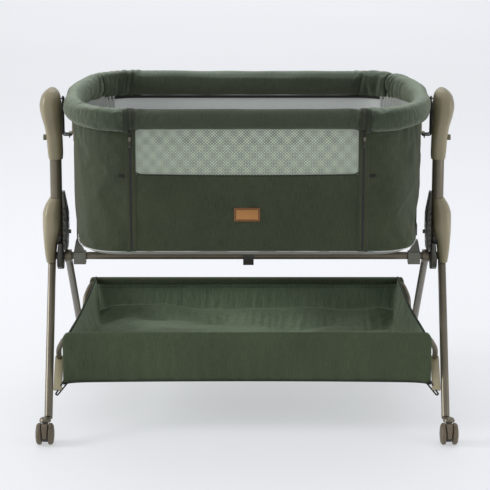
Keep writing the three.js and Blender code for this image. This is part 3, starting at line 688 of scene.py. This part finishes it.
def rim_band(name, x, body, width, lift, z_middle, half_height, half_thickness):
    """A binding round a pad beside a zipper, with a dark seam on each of its edges."""
    angle = circle(60)
    out, up = rounded(angle, PAD_SQUARENESS)
    lean = math.copysign(0.0005, x) * np.sin(angle)
    y = -RIM_WIDTH - (half_thickness + lift) * out
    path = np.stack([x + lean, y, z_middle + (half_height + lift) * up], 1)
    facing = np.stack([0 * angle, -np.cos(angle), np.sin(angle)], 1)
    binding = band(name, path, facing, width, GREEN_THICKNESS, body, GREEN_BAND,
                   closed=True, sides=8, squareness=4)
    for number, share in enumerate((-0.5, 0.5)):
        edge = path + [share * width, 0, 0] + facing * 0.0006
        band(f"{name}_seam_{number}", edge, facing, 0.0018, 0.0016, body, GREEN_EDGE, closed=True)


RAIL_HALF_HEIGHT = (RAIL_HIGH.z - RAIL_LOW.z) / 2
RAIL_Z = (RAIL_HIGH.z + RAIL_LOW.z) / 2
RAIL_HALF_THICKNESS = (RAIL_HIGH.y - RAIL_LOW.y) / 2


def rail_cover():
    """The padded cover of the drop-down rail, with fine ribs."""
    x = np.linspace(RAIL_LOW.x + 0.0015, RAIL_HIGH.x - 0.0015, 200)
    rows = x[:, None]
    nearest_end = RAIL_HIGH.x - np.abs(rows)
    tuck = 1 - 0.05 * np.exp(-nearest_end / 0.003)
    sections = padded_sections(RAIL_HALF_THICKNESS, RAIL_HALF_HEIGHT, tuck)
    slack = wave(rows * 9, np.cos(RING), np.sin(RING) + 7)
    puckers = wave(rows * 60, np.sin(RING) * 2, 3) * np.exp(-nearest_end / 0.03)
    sections += unit(sections) * (slack * 0.0012 + puckers * 0.0012 - 0.0006)[..., None]
    points = np.stack([x, np.full(len(x), -RIM_WIDTH)], 1)
    outward = np.broadcast_to(FORWARD[:2], points.shape)
    cover = pad_cover("rail_cover", points, outward, RAIL_Z, sections, x, 0.15, growth=0.008, cap=0.0018)
    dressed(cover, "drop_side", GREEN_RAIL, "drop_rail_pad", slot="green_fabric")


rail_cover()
for side, sign in SIDES:
    rim_band(f"rail_binding_{side}", sign * (RAIL_HIGH.x - 0.0052), "drop_side", 0.0105, 0.0005,
             RAIL_Z, RAIL_HALF_HEIGHT, RAIL_HALF_THICKNESS)
    rim_band(f"rim_binding_{side}", sign * (RAIL_HIGH.x + 0.0062), "bassinet", 0.009, -0.0004,
             RIM_Z, PAD_HEIGHT, PAD_THICKNESS)


# ---- the wall of the tub ----
WALL_COUNT = 360
top_points, top_outward, wall_arc = tub_plan(*WALL_TOP, WALL_COUNT)
seam_share = (SEAM_X - STRAIGHT) / (WALL_BOTTOM[0] - STRAIGHT)
bottom_seam_angle = math.acos(seam_share ** (BOTTOM_SQUARENESS / 2))
bottom_points = tub_plan(*WALL_BOTTOM, WALL_COUNT, BOTTOM_SQUARENESS, bottom_seam_angle)[0]
WALL_LENGTH = float(wall_arc[-1])
CLOTH_TOP = WALL_HIGH.z + 0.010
CLOTH_BOTTOM = WALL_LOW.z - 0.003


def wall_place(arc, z, out=0.0):
    """The point of the wall at that distance round the tub and that height, and which way is out."""
    share = 1 - (1 - np.clip((z - WALL_LOW.z) / (WALL_HIGH.z - WALL_LOW.z), 0, 1)) ** 3
    share = share[..., None]
    outward = unit(points_at(arc, wall_arc, top_outward))
    xy = points_at(arc, wall_arc, bottom_points) * (1 - share) + points_at(arc, wall_arc, top_points) * share
    xy = xy + outward * np.broadcast_to(out, z.shape)[..., None]
    return np.concatenate([xy, z[..., None]], -1), np.concatenate([outward, 0 * share], -1)


def window_distance(a, z, window):
    """How far a point is outside a window with rounded corners and a bowed lower edge; negative inside."""
    low = window.low - window.bow * np.clip(1 - ((a - window.middle) / window.half) ** 2, 0, 1)
    qa = np.abs(a - window.middle) - window.half + window.radius
    qz = np.abs(z - (window.high + low) / 2) - (window.high - low) / 2 + window.radius
    return np.hypot(np.maximum(qa, 0), np.maximum(qz, 0)) + np.minimum(np.maximum(qa, qz), 0) - window.radius


def towards_outline(a, z, window, share=1.0):
    """Points moved towards a window's outline by a share of their distance from it."""
    small = 1e-5
    d = window_distance(a, z, window)
    slope_a = (window_distance(a + small, z, window) - d) / small
    slope_z = (window_distance(a, z + small, window) - d) / small
    return a - slope_a * d * share, z - slope_z * d * share


def cut_window(a, z, step, window):
    """Moves the grid's nearest points onto the window's outline; returns them and which cells to keep."""
    near = np.abs(window_distance(a, z, window)) < step * 0.55
    a, z = towards_outline(a, z, window, near)
    d = window_distance(a, z, window)
    cells = (d[:-1, :-1] + d[1:, :-1] + d[:-1, 1:] + d[1:, 1:]) / 4
    return a, z, cells > 1e-5


def window_outline(window, count=260):
    """Points round a window's outline, in the cloth's own coordinates."""
    c, s = np.cos(circle(count)), np.sin(circle(count))
    half_height = (window.high - window.low) / 2
    reach = 1 / np.maximum(np.abs(c) / window.half, np.abs(s) / half_height)
    a, z = window.middle + reach * c, window.low + half_height + reach * s
    for _ in range(8):
        a, z = towards_outline(a, z, window)
    return a, z


Window = namedtuple("Window", "middle low high half radius bow", defaults=(0.0,))
REAR_WINDOW = Window(WALL_LENGTH / 2, 0.575, 0.704, half=0.335, radius=0.014)


def tub_fabric():
    arc, z = grid(np.linspace(0, WALL_LENGTH, WALL_COUNT), np.linspace(CLOTH_BOTTOM, CLOTH_TOP, 50))
    step = WALL_LENGTH / (WALL_COUNT - 1)
    along, across = arc[:, 0].copy(), z[0].copy()
    arc, z, keep = cut_window(arc, z, step, REAR_WINDOW)
    near_end = np.clip(1 - np.abs(np.abs(arc - WALL_LENGTH / 2) - WALL_LENGTH * 0.32) / 0.3, 0, 1)
    under_rim = np.exp(-np.maximum(WALL_HIGH.z - z, 0) / 0.04)
    gathers = crease(arc * 34, z * 2, 5) * under_rim * (0.35 + near_end)
    drape = wave(arc * 7 + z * 3, z * 5, 8) * 0.7 + crease(arc * 5 - z * 7, z * 3, 2) * (0.4 + near_end)
    upright = crease(arc * 26, z * 1.4, 12) * near_end * (0.5 + under_rim)
    hem = wave(arc * 30, 4, 1) * np.exp(-(z - CLOTH_BOTTOM) / 0.015)
    out = gathers * 0.0046 + drape * 0.0022 + upright * 0.0018 + hem * 0.0010
    out *= np.clip(window_distance(arc, z, REAR_WINDOW) / 0.02, 0.1, 1)
    out *= np.clip(np.minimum(arc, WALL_LENGTH - arc) / 0.02, 0.15, 1)
    fabric = grid_piece("tub_fabric", wall_place(arc, z, out)[0], along, across, keep=keep)
    x, y, height = coordinates(fabric.data).T
    sewn = (height > CLOTH_TOP - 0.008) | (height < CLOTH_BOTTOM + 0.003)
    sewn |= (y < 0) & (np.abs(x) < SEAM_X + 0.006)
    beside_window = (y > 0) & (np.abs(x) < REAR_WINDOW.half + 0.012)
    sewn |= beside_window & (height > REAR_WINDOW.low - 0.006)
    simulate(fabric, sewn, growth=0.012, cap=0.0035)
    line_fabric(fabric, "bassinet", "tub_wall")


def line_fabric(fabric, body, replaced):
    """Gives green fabric its thickness and its white lining, and puts it on its body."""
    fabric.data.materials.append(GREEN)
    thicken(fabric, GREEN_THICKNESS, inside=LINER)
    dressed(fabric, body, GREEN, replaced, slot="green_fabric")


def rear_window():
    margin = 0.006
    reach = REAR_WINDOW.half + margin
    arc, z = grid(np.linspace(REAR_WINDOW.middle - reach, REAR_WINDOW.middle + reach, 90),
                  np.linspace(REAR_WINDOW.low - margin, CLOTH_TOP - 0.002, 14))
    piece = grid_piece("rear_window", wall_place(arc, z, -0.0022)[0], arc[:, 0], z[0])
    dressed(piece, "bassinet", WINDOW_REAR, slot="mesh_fabric")
    path, facing = wall_place(*window_outline(REAR_WINDOW), 0.0004)
    band("rear_window_binding", path, facing, 0.006, 0.0014, "bassinet", GREEN_EDGE,
         closed=True, squareness=3)


def end_liner(side, first, last):
    """The white elastic-gathered lining inside one end of the tub, in a grey copy of the lining that paints
    its shade.
    """
    low, pleat, fullness = REAR_WINDOW.low + 0.010, 0.0125, 1.25
    height = CLOTH_TOP - 0.004 - low
    arc, z = grid(np.linspace(first, last, 420), np.linspace(low, low + height, 14))
    sway = wave(arc * 18, z * 6, 3) * 1.6
    depth = 0.6 + 0.4 * wave(arc * 14, 2, 7)
    pleats = np.sin(arc * 2 * math.pi / pleat + sway) * depth
    place = wall_place(arc, z, -0.0085 + pleats * 0.0022)[0]
    piece = grid_piece(f"end_liner_{side}", place, arc[:, 0], z[0])
    dressed(piece, "bassinet", LINER_GATHERED_SHADED, slot="liner_fabric")


def rim_gap_painted_shade():
    """A black band painting the shade of the tuck between the rim's rear cover and the wall, seen from
    inside.
    """
    reach = REAR_WINDOW.half + 0.02
    arc = np.linspace(REAR_WINDOW.middle - reach, REAR_WINDOW.middle + reach, 160)
    path, facing = wall_place(arc, np.full(arc.shape, RIM_LOW.z - 0.0095), -0.0065)
    band("rim_tuck_painted_shade", path, facing, 0.0065, 0.003, "bassinet", TAPE, squareness=3)


tub_fabric()
rear_window()
rim_gap_painted_shade()
liner_start = 0.05
window_start = REAR_WINDOW.middle - REAR_WINDOW.half
end_liner("right", liner_start, window_start)
end_liner("left", WALL_LENGTH - window_start, WALL_LENGTH - liner_start)


# ---- the drop-down front panel ----
LEAN = (WALL_TOP[1] - WALL_BOTTOM[1]) / (WALL_HIGH.z - WALL_LOW.z)
FRONT_WINDOW = Window(0.0, 0.6035, 0.7085, half=0.2495, radius=0.007, bow=0.0025)
PANEL_TOP = RAIL_LOW.z + 0.009


def panel_place(x, z, out=0.0):
    """A point on the outer face of the front side, that far in front of it."""
    return np.stack(np.broadcast_arrays(x, -WALL_BOTTOM[1] - (z - WALL_LOW.z) * LEAN - out, z), -1)


def front_fabric():
    x, z = grid(np.linspace(-PANEL_HALF, PANEL_HALF, 129), np.linspace(CLOTH_BOTTOM, PANEL_TOP, 70))
    along, across = x[:, 0].copy(), z[0].copy()
    x, z, keep = cut_window(x, z, 2 * PANEL_HALF / 128, FRONT_WINDOW)
    out = wave(x * 6, z * 8, 3) * 0.0016 + crease(x * 3 + z * 5, z * 2, 6) * 0.0007
    from_edge = np.minimum(PANEL_HALF - np.abs(x), z - CLOTH_BOTTOM)
    from_edge = np.minimum(from_edge, window_distance(x, z, FRONT_WINDOW))
    out *= np.clip(from_edge / 0.03, 0, 1)
    fabric = grid_piece("front_fabric", panel_place(x, z, out), along, across, keep=keep)
    x, _, z = coordinates(fabric.data).T
    sewn = (np.abs(x) > FRONT_WINDOW.half) | (z < PANEL_LOW.z + 0.004) | (z > FRONT_WINDOW.low - 0.004)
    simulate(fabric, sewn, growth=0.006, cap=0.003)
    line_fabric(fabric, "drop_side", "front_panel")


def front_window():
    margin = 0.004
    reach = FRONT_WINDOW.half + margin
    x, z = grid(np.linspace(-reach, reach, 70),
                np.linspace(FRONT_WINDOW.low - margin - FRONT_WINDOW.bow, PANEL_TOP, 16))
    piece = grid_piece("front_window", panel_place(x, z, -0.0022), x[:, 0], z[0])
    dressed(piece, "drop_side", WINDOW, slot="mesh_fabric")
    path = panel_place(*window_outline(FRONT_WINDOW), 0.0003)
    band("front_window_binding", path, FORWARD, 0.0026, 0.0012, "drop_side", GREEN_EDGE,
         closed=True, squareness=3)


def zipper(side, sign):
    low, high = CLOTH_BOTTOM + 0.0005, RIM_LOW.z + 0.011

    def upright(x, out, top=high, count=40):
        """A line up the front, at X, that far in front of the panel."""
        return panel_place(sign * x, np.linspace(low, top, count), out)

    teeth = upright(ZIP_X, -0.0004, count=120)
    band(f"zip_teeth_{side}", teeth, FORWARD, 0.0085, 0.0016, "bassinet", ZIP_TEETH)
    for edge, x, out, width, body, stitched in (
            ("outer", SEAM_X + 0.0025, 0.0012, 0.0095, "bassinet", (SEAM_X + 0.0005, SEAM_X + 0.0065)),
            ("inner", PANEL_HALF - 0.0028, 0.0008, 0.0085, "drop_side",
             (PANEL_HALF - 0.0015, PANEL_HALF - 0.0066))):
        band(f"zip_tape_{edge}_{side}", upright(x, out), FORWARD, width, GREEN_THICKNESS, body, GREEN,
             squareness=4)
        for number, x_stitch in enumerate(stitched):
            row = stitches(f"zip_stitch_{edge}_{side}_{number}", upright(x_stitch, out + 0.0007), FORWARD)
            dressed(row, body, THREAD)
    seam = upright(FRONT_WINDOW.half + 0.0025, 0.0002, PANEL_TOP)
    band(f"panel_seam_{side}", seam, FORWARD, 0.0016, 0.0008, "drop_side", GREEN_EDGE)
    loop_x, loop_z, half_width, reach = SEAM_X + 0.016, 0.601, 0.0075, 0.0042
    turn = np.linspace(0, math.pi, 14)
    foot = panel_place(sign * loop_x, np.array(loop_z), -0.001)
    loop = foot + np.stack([half_width * np.cos(turn), -reach * np.sin(turn), 0 * turn], 1)
    facing = np.stack([np.cos(turn), -np.sin(turn) - 0.2, 0 * turn], 1)
    band(f"loop_tab_{side}", loop, facing, 0.0062, 0.0018, "bassinet", TAPE, squareness=4)


def label():
    """A blank leather patch with a pressed edge and a row of stitches."""
    width, height, z = 0.0585, 0.0315, 0.5115
    rim = 0.0046
    outline_a, outline_z = window_outline(Window(0.0, z - height / 2, z + height / 2, width / 2, 0.004), 80)

    def inset_ring(inset, out):
        return panel_place(outline_a * (1 - inset / (width / 2)),
                           z + (outline_z - z) * (1 - inset / (height / 2)), out)

    rings = np.array([inset_ring(0.0, 0.0), inset_ring(0.0, 0.0016), inset_ring(0.0007, 0.0021),
                      inset_ring(0.004, 0.0022), inset_ring(rim, 0.0016), inset_ring(0.0052, 0.0021)])
    along, across = np.linspace(0, 0.01, len(rings)), np.linspace(0, 0.17, 81)
    piece = grid_piece("label", rings, along, across, wrap=True, capped=True)
    piece.data.materials.append(LABEL)
    piece.data.materials.append(LABEL_EDGE)
    for face in piece.data.polygons:
        middle = face.center
        inset = min(width / 2 - abs(middle.x), height / 2 - abs(middle.z - z))
        face.material_index = 1 if inset < rim and len(face.vertices) == 4 else 0
    dressed(piece, "drop_side", LABEL, slot="label_leather")
    path = inset_ring(0.0028, 0.0024)
    path = np.concatenate([path, path[:1]])
    dressed(stitches("label_stitch", path, FORWARD, 0.0024, 0.0036, 0.0007), "drop_side", THREAD_TAN)


def bottom_piping():
    arc = np.linspace(0, WALL_LENGTH, 300)
    path, facing = wall_place(arc, CLOTH_BOTTOM + wave(arc * 22, 0.5, 2) * 0.0008, 0.0006)
    band("wall_piping", path, facing, PIPING_WIDTH, PIPING_WIDTH, "bassinet", PIPING)
    x = np.linspace(-PANEL_HALF, PANEL_HALF, 120)
    path = panel_place(x, CLOTH_BOTTOM + wave(x * 22, 0.5, 5) * 0.0008, 0.0006)
    band("panel_piping", path, FORWARD, PIPING_WIDTH, PIPING_WIDTH, "drop_side", PIPING)


def base_sleeve():
    """The pale sleeve round the tube at the tub's bottom edge."""
    low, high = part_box("base_frame")
    radius = (high.z - low.z) / 2
    points = tub_plan(high.x - radius, high.y - radius, 220, BOTTOM_SQUARENESS)[0]
    path = np.column_stack([points, np.full(len(points), low.z + radius)])
    sleeve = strip("base_sleeve", path, (0, 0, 1), 2 * radius, 2 * radius, closed=True, sides=14)
    dressed(sleeve, "bassinet", SLEEVE, "base_frame", slot="liner_fabric")


front_fabric()
front_window()
label()
bottom_piping()
base_sleeve()
for side, sign in SIDES:
    zipper(side, sign)


# ---- mattress and webbing ----
def mattress():
    """A soft slab with the plan of the tub, rounded at its edges and slightly uneven on top."""
    half = (MATTRESS_HIGH.z - MATTRESS_LOW.z) / 2
    points, outward, _ = tub_plan(MATTRESS_HIGH.x, MATTRESS_HIGH.y, 150)
    levels = [(points - outward * 0.012 * (1 - math.cos(a)), half * math.sin(a))
              for a in np.linspace(-math.pi / 2, math.pi / 2, 9)]
    levels += [(points * share, half) for share in (0.9, 0.7, 0.45, 0.2, 0.02)]
    rings = [np.column_stack([xy, np.full(len(xy), MATTRESS_LOW.z + half + z)]) for xy, z in levels]
    rings = np.array(rings)
    rings[4:, :, 2] += wave(rings[4:, :, 0] * 9, rings[4:, :, 1] * 9, 4) * 0.0012 - 0.0008
    along, across = np.linspace(0, 0.3, len(rings)), np.linspace(0, 2.1, 151)
    piece = grid_piece("mattress_soft", rings, along, across, wrap=True, capped=True)
    dressed(piece, "bassinet", KNIT, "mattress", slot="liner_fabric")


def webbing(node_name, body):
    low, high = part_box(node_name)
    sign = math.copysign(1, low.x)
    z = np.linspace(low.z, high.z, 40)
    path = np.stack([(low.x + high.x) / 2 + wave(z * 12, 3, sign) * 0.0004, 0 * z, z], 1)
    piece = strip(node_name + "_webbing", path, (sign, 0, 0), high.y - low.y, high.x - low.x, squareness=5)
    dressed(piece, body, WEBBING, node_name, slot="webbing")


def buckle(side, sign):
    low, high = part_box(f"end_strap_{side}")
    x, half = (low.x + high.x) / 2, (high.y - low.y) / 2 + 0.003
    z_low = low.z + 0.001
    across, z = window_outline(Window(0.0, z_low, z_low + 0.026, half, 0.003), 60)
    bar = np.linspace(-half, half, 10)
    for name, path, closed in (("buckle", [0 * across + x, across, z], True),
                               ("buckle_bar", [0 * bar + x, bar, 0 * bar + z_low + 0.013], False)):
        band(f"{name}_{side}", np.transpose(path), (sign, 0, 0), 0.0034, 0.0052, "bassinet",
             SLOT_MATERIALS["dark_plastic"], closed=closed, squareness=3)


mattress()
for side, sign in SIDES:
    webbing(f"end_strap_{side}", "bassinet")
    webbing(f"lower_strap_{side}", "stand")
    buckle(side, sign)


# ---- storage basket ----
HEM_RADIUS = BAR_RADIUS + 0.002


def basket_panel(end, sign, seed):
    """A fabric panel that is folded over its bar and hangs down; its bottom edge bows up in the middle."""
    panel_low, panel_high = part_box(f"basket_panel_{end}")
    bar_y = BAR_LOW.y + BAR_RADIUS
    bar_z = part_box(f"basket_bar_{end}")[1].z - BAR_RADIUS
    low_half = panel_high.x + 0.0010
    corner = 0.0175 if end == "front" else 0.011
    rows, columns = 34, 161

    def half_at(drop):
        """Half the panel's length that far below its top edge: the corners are round."""
        return low_half - corner + np.sqrt(corner ** 2 - (corner - np.clip(drop, 0, corner)) ** 2)

    hem = np.broadcast_to(np.linspace(math.radians(-60), math.radians(190), 14), (columns, 14))
    hem_y, hem_z = HEM_RADIUS * np.cos(hem), bar_z + HEM_RADIUS * np.sin(hem)
    share = np.linspace(-1, 1, columns)[:, None]
    bow = 0.0055 * (1 - np.exp((np.abs(share) - 1) * 25)) + 0.003 * (1 - share ** 2)
    t = np.arange(1, rows + 1) / rows
    z = hem_z[:, -1:] * (1 - t) + (panel_low.z + 0.001 + bow) * t
    sway = wave(share * 5, z * 7, seed) * 0.0024 * np.sin(math.pi * np.minimum(t * 1.05, 1)) ** 0.5
    sway += crease(share * 16, z * 4, seed + 3) * 0.0006 * (1 - np.abs(2 * t - 1))
    y = np.concatenate([hem_y, hem_y[:, -1:] - 0.0012 * t + sway], 1)
    z = np.concatenate([hem_z, z], 1)
    rings = np.stack([share * half_at(bar_z + HEM_RADIUS - z), -sign * (bar_y + y), z], -1)
    lengths = distances(rings[columns // 2])
    piece = grid_piece(f"basket_panel_{end}_cloth", rings, np.linspace(-low_half, low_half, columns), lengths)
    held = coordinates(piece.data)
    pinned = (held[:, 2] > bar_z - 0.004) | (np.abs(held[:, 0]) > low_half - 0.006)
    simulate(piece, pinned, gravity=0.3, growth=0.006, cap=0.004)
    piece.data.materials.append(BASKET)
    thicken(piece, BASKET_THICKNESS, inside=BASKET_INSIDE_PAINTED_LIGHT, smooth=False)
    body = f"{end}_legs"
    dressed(piece, body, BASKET, f"basket_panel_{end}", slot="basket_fabric")
    band(f"basket_binding_{end}", rings[:, -1], (0, sign, 0), 0.004, 0.0030, body, BASKET_DARK, squareness=3)
    if end == "rear":
        for face, depth in (("outer", 0.0009), ("inner", -0.0022)):
            hem_line = rings[:, hem.shape[1] + 5] + [0, sign * depth, 0]
            facing = (0, sign * math.copysign(1, depth), 0)
            dressed(stitches(f"basket_hem_stitch_{face}", hem_line, facing), body, BASKET_DARK)


def basket_liner():
    """The floor and ends of the basket, sagging between the two bars."""
    front_half, rear_half = SLING_HIGH.x, SLING_HIGH.x - 0.027
    floor, top = SLING_LOW.z, BAR_HIGH.z + 0.001
    rows, columns = 80, 170
    corner = 0.028
    y = np.linspace(BAR_LOW.y + 0.009, -BAR_LOW.y - 0.009, rows)
    width, depth = 2 * front_half + 2 * (top - floor), float(y[-1] - y[0])
    turn = np.linspace(math.pi, 1.5 * math.pi, 8)
    rings = []
    for value in y:
        share = (value - y[0]) / depth
        half = front_half * (1 - share) + rear_half * share
        left = [(-half, top), (-half + 0.002, floor + corner)]
        left += [(corner - half + corner * math.cos(a), floor + corner + corner * math.sin(a)) for a in turn]
        line = np.array(left + [(-x, z) for x, z in reversed(left)])
        arc = distances(line)
        x, z = points_at(np.linspace(0, arc[-1], columns), arc, line).T
        on_floor = np.clip((floor + corner - z) / corner, 0, 1)
        z = z - 0.006 * math.sin(math.pi * share) * (1 - on_floor) + 0.004 * on_floor
        folds = crease(x * 6 - value * 8, value * 3, 4) + wave(x * 9, value * 9, 2)
        puffed = 0.036 * np.exp(-((x + 0.25) / 0.11) ** 2 - ((value - 0.11) / 0.13) ** 2)
        turned_up = 0.022 * np.clip((share - 0.9) / 0.1, 0, 1) ** 2
        z = z + (folds * 0.0075 + puffed + turned_up) * on_floor
        slack = crease(value * 7, z * 3, np.copysign(5, x)) + wave(value * 12, z * 6, 5)
        below_edge = np.clip((top - z) / 0.03, 0, 1) * (1 - on_floor) * math.sin(math.pi * share) ** 0.5
        x = x - np.sign(x) * (0.004 + slack * 0.006) * below_edge
        to_panel = 0.0065 * (np.clip(1 - share / 0.06, 0, 1) - np.clip(1 - (1 - share) / 0.06, 0, 1))
        under_bar = np.clip((BAR_HIGH.z - 0.016 - z) / 0.008, 0, 1)
        rings.append(np.stack([x, value - to_panel * under_bar, z], 1))
    rings = np.array(rings)
    piece = grid_piece("basket_liner", rings, y, np.linspace(0, width, columns))
    pinned = np.zeros((rows, columns), bool)
    pinned[:2] = pinned[-2:] = True
    pinned[:, :2] = pinned[:, -2:] = True
    simulate(piece, pinned.ravel(), gravity=0.5, growth=0.02, cap=0.009)
    # painted light: the floor and ends take the lighter inside copy of the basket cloth
    piece.data.materials.append(BASKET_INSIDE_PAINTED_LIGHT)
    thicken(piece, BASKET_THICKNESS)
    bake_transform(piece)
    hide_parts("basket_sling")
    for side, column in (("left", 0), ("right", columns - 1)):
        edge = strip(f"basket_end_binding_{side}", rings[:, column], (1, 0, 0), 0.007, 0.004, squareness=3)
        edge.data.materials.append(BASKET_DARK)
        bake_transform(edge)


def elastic_loop(end, side, x_sign, y_sign):
    """A black elastic loop from the panel's bottom corner round the hook of the bracket and back."""
    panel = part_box(f"basket_panel_{end}")
    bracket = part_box(f"basket_bracket_{end}_right")
    nearest = 0 if y_sign < 0 else 1
    panel_x, panel_y, panel_z = panel[1].x, panel[nearest].y + y_sign * 0.001, panel[0].z
    hook_x, hook_y, hook_z = bracket[1].x - 0.006, bracket[nearest].y - y_sign * 0.002, bracket[0].z - 0.001
    corners = np.array([
        (panel_x - 0.001, panel_y, panel_z + 0.010),
        (hook_x - 0.003, hook_y, hook_z + 0.004),
        (hook_x + 0.001, hook_y, hook_z - 0.002),
        (hook_x - 0.003, hook_y, hook_z - 0.005),
        (panel_x - 0.008, panel_y, panel_z + 0.003),
    ])
    order = np.arange(len(corners))
    path = points_at(np.linspace(0, order[-1], 40), order, corners)
    for _ in range(3):
        path[1:-1] = (path[:-2] + 2 * path[1:-1] + path[2:]) / 4
    path[:, 0] *= x_sign
    band(f"elastic_{end}_{side}", path, (0, y_sign, 0.2), 0.0036, 0.0036, f"{end}_legs", TAPE)


basket_panel("front", -1, 3)
basket_panel("rear", 1, 6)
basket_liner()
for end, y_sign in (("front", -1), ("rear", 1)):
    for side, x_sign in SIDES:
        elastic_loop(end, side, x_sign, y_sign)


# ---- studio ----
def studio():
    floor_material, tree, shader = blank_material("studio_floor", 0.7)
    tint = noise_map(node(tree, "ShaderNodeTexCoord").outputs["Object"], 0.8)
    fill(shader, {"Base Color": mixed(tint, srgb(162, 163, 166), srgb(168, 169, 172)),
                  "Emission Color": srgb(252, 253, 255), "Emission Strength": 0.46})
    depth, rise, radius = 10.0, 6.0, 3.0
    turn = np.linspace(0, math.pi / 2, 48)
    profile = [(-12.0, 0.0)]
    profile += [(depth + radius * math.sin(a), radius - radius * math.cos(a)) for a in turn]
    profile.append((depth + radius, rise))
    rings = np.array([[(x, y, z) for y, z in profile] for x in (-12.0, 12.0)])
    sweep = grid_piece("studio_sweep", rings, [0, 1], np.linspace(0, 1, len(profile)))
    sweep.data.materials.append(floor_material)

    world = bpy.data.worlds.new("studio")
    world.use_nodes = True
    fill(world.node_tree.nodes["Background"], {"Color": (0.92, 0.95, 1.0, 1), "Strength": 0.75})
    scene = bpy.context.scene
    scene.world = world
    scene.view_settings.view_transform = "Standard"
    lamp("key", (-4.1, -0.7, 2.0), (0, 0, 0.5), 1.5, 104)
    lamp("fill", (2.8, -1.2, 0.8), (0.4, 0, 0.25), 1.3, 16)
    lamp("top", (0.0, 1.6, 3.2), (0, 0, 0.6), 2.6, 34)
    lamp("backdrop", (0.0, 8.0, 3.5), (0, 8.5, 0), 3.0, 40)


def lamp(name, place, target, size, power):
    data = bpy.data.lights.new(name, "AREA")
    configure(data, size=size, energy=power)
    turn = (Vector(target) - Vector(place)).to_track_quat("-Z", "Y").to_euler()
    configure(add_object(name, data), location=place, rotation_euler=turn)


def camera():
    data = bpy.data.cameras.new("camera")
    configure(data, sensor_width=36, lens=159.1)
    made = add_object("camera", data)
    configure(made, location=(-0.0046, -5.0, 1.578), rotation_euler=(math.radians(76.5), 0, 0))
    bpy.context.scene.camera = made


studio()
camera()
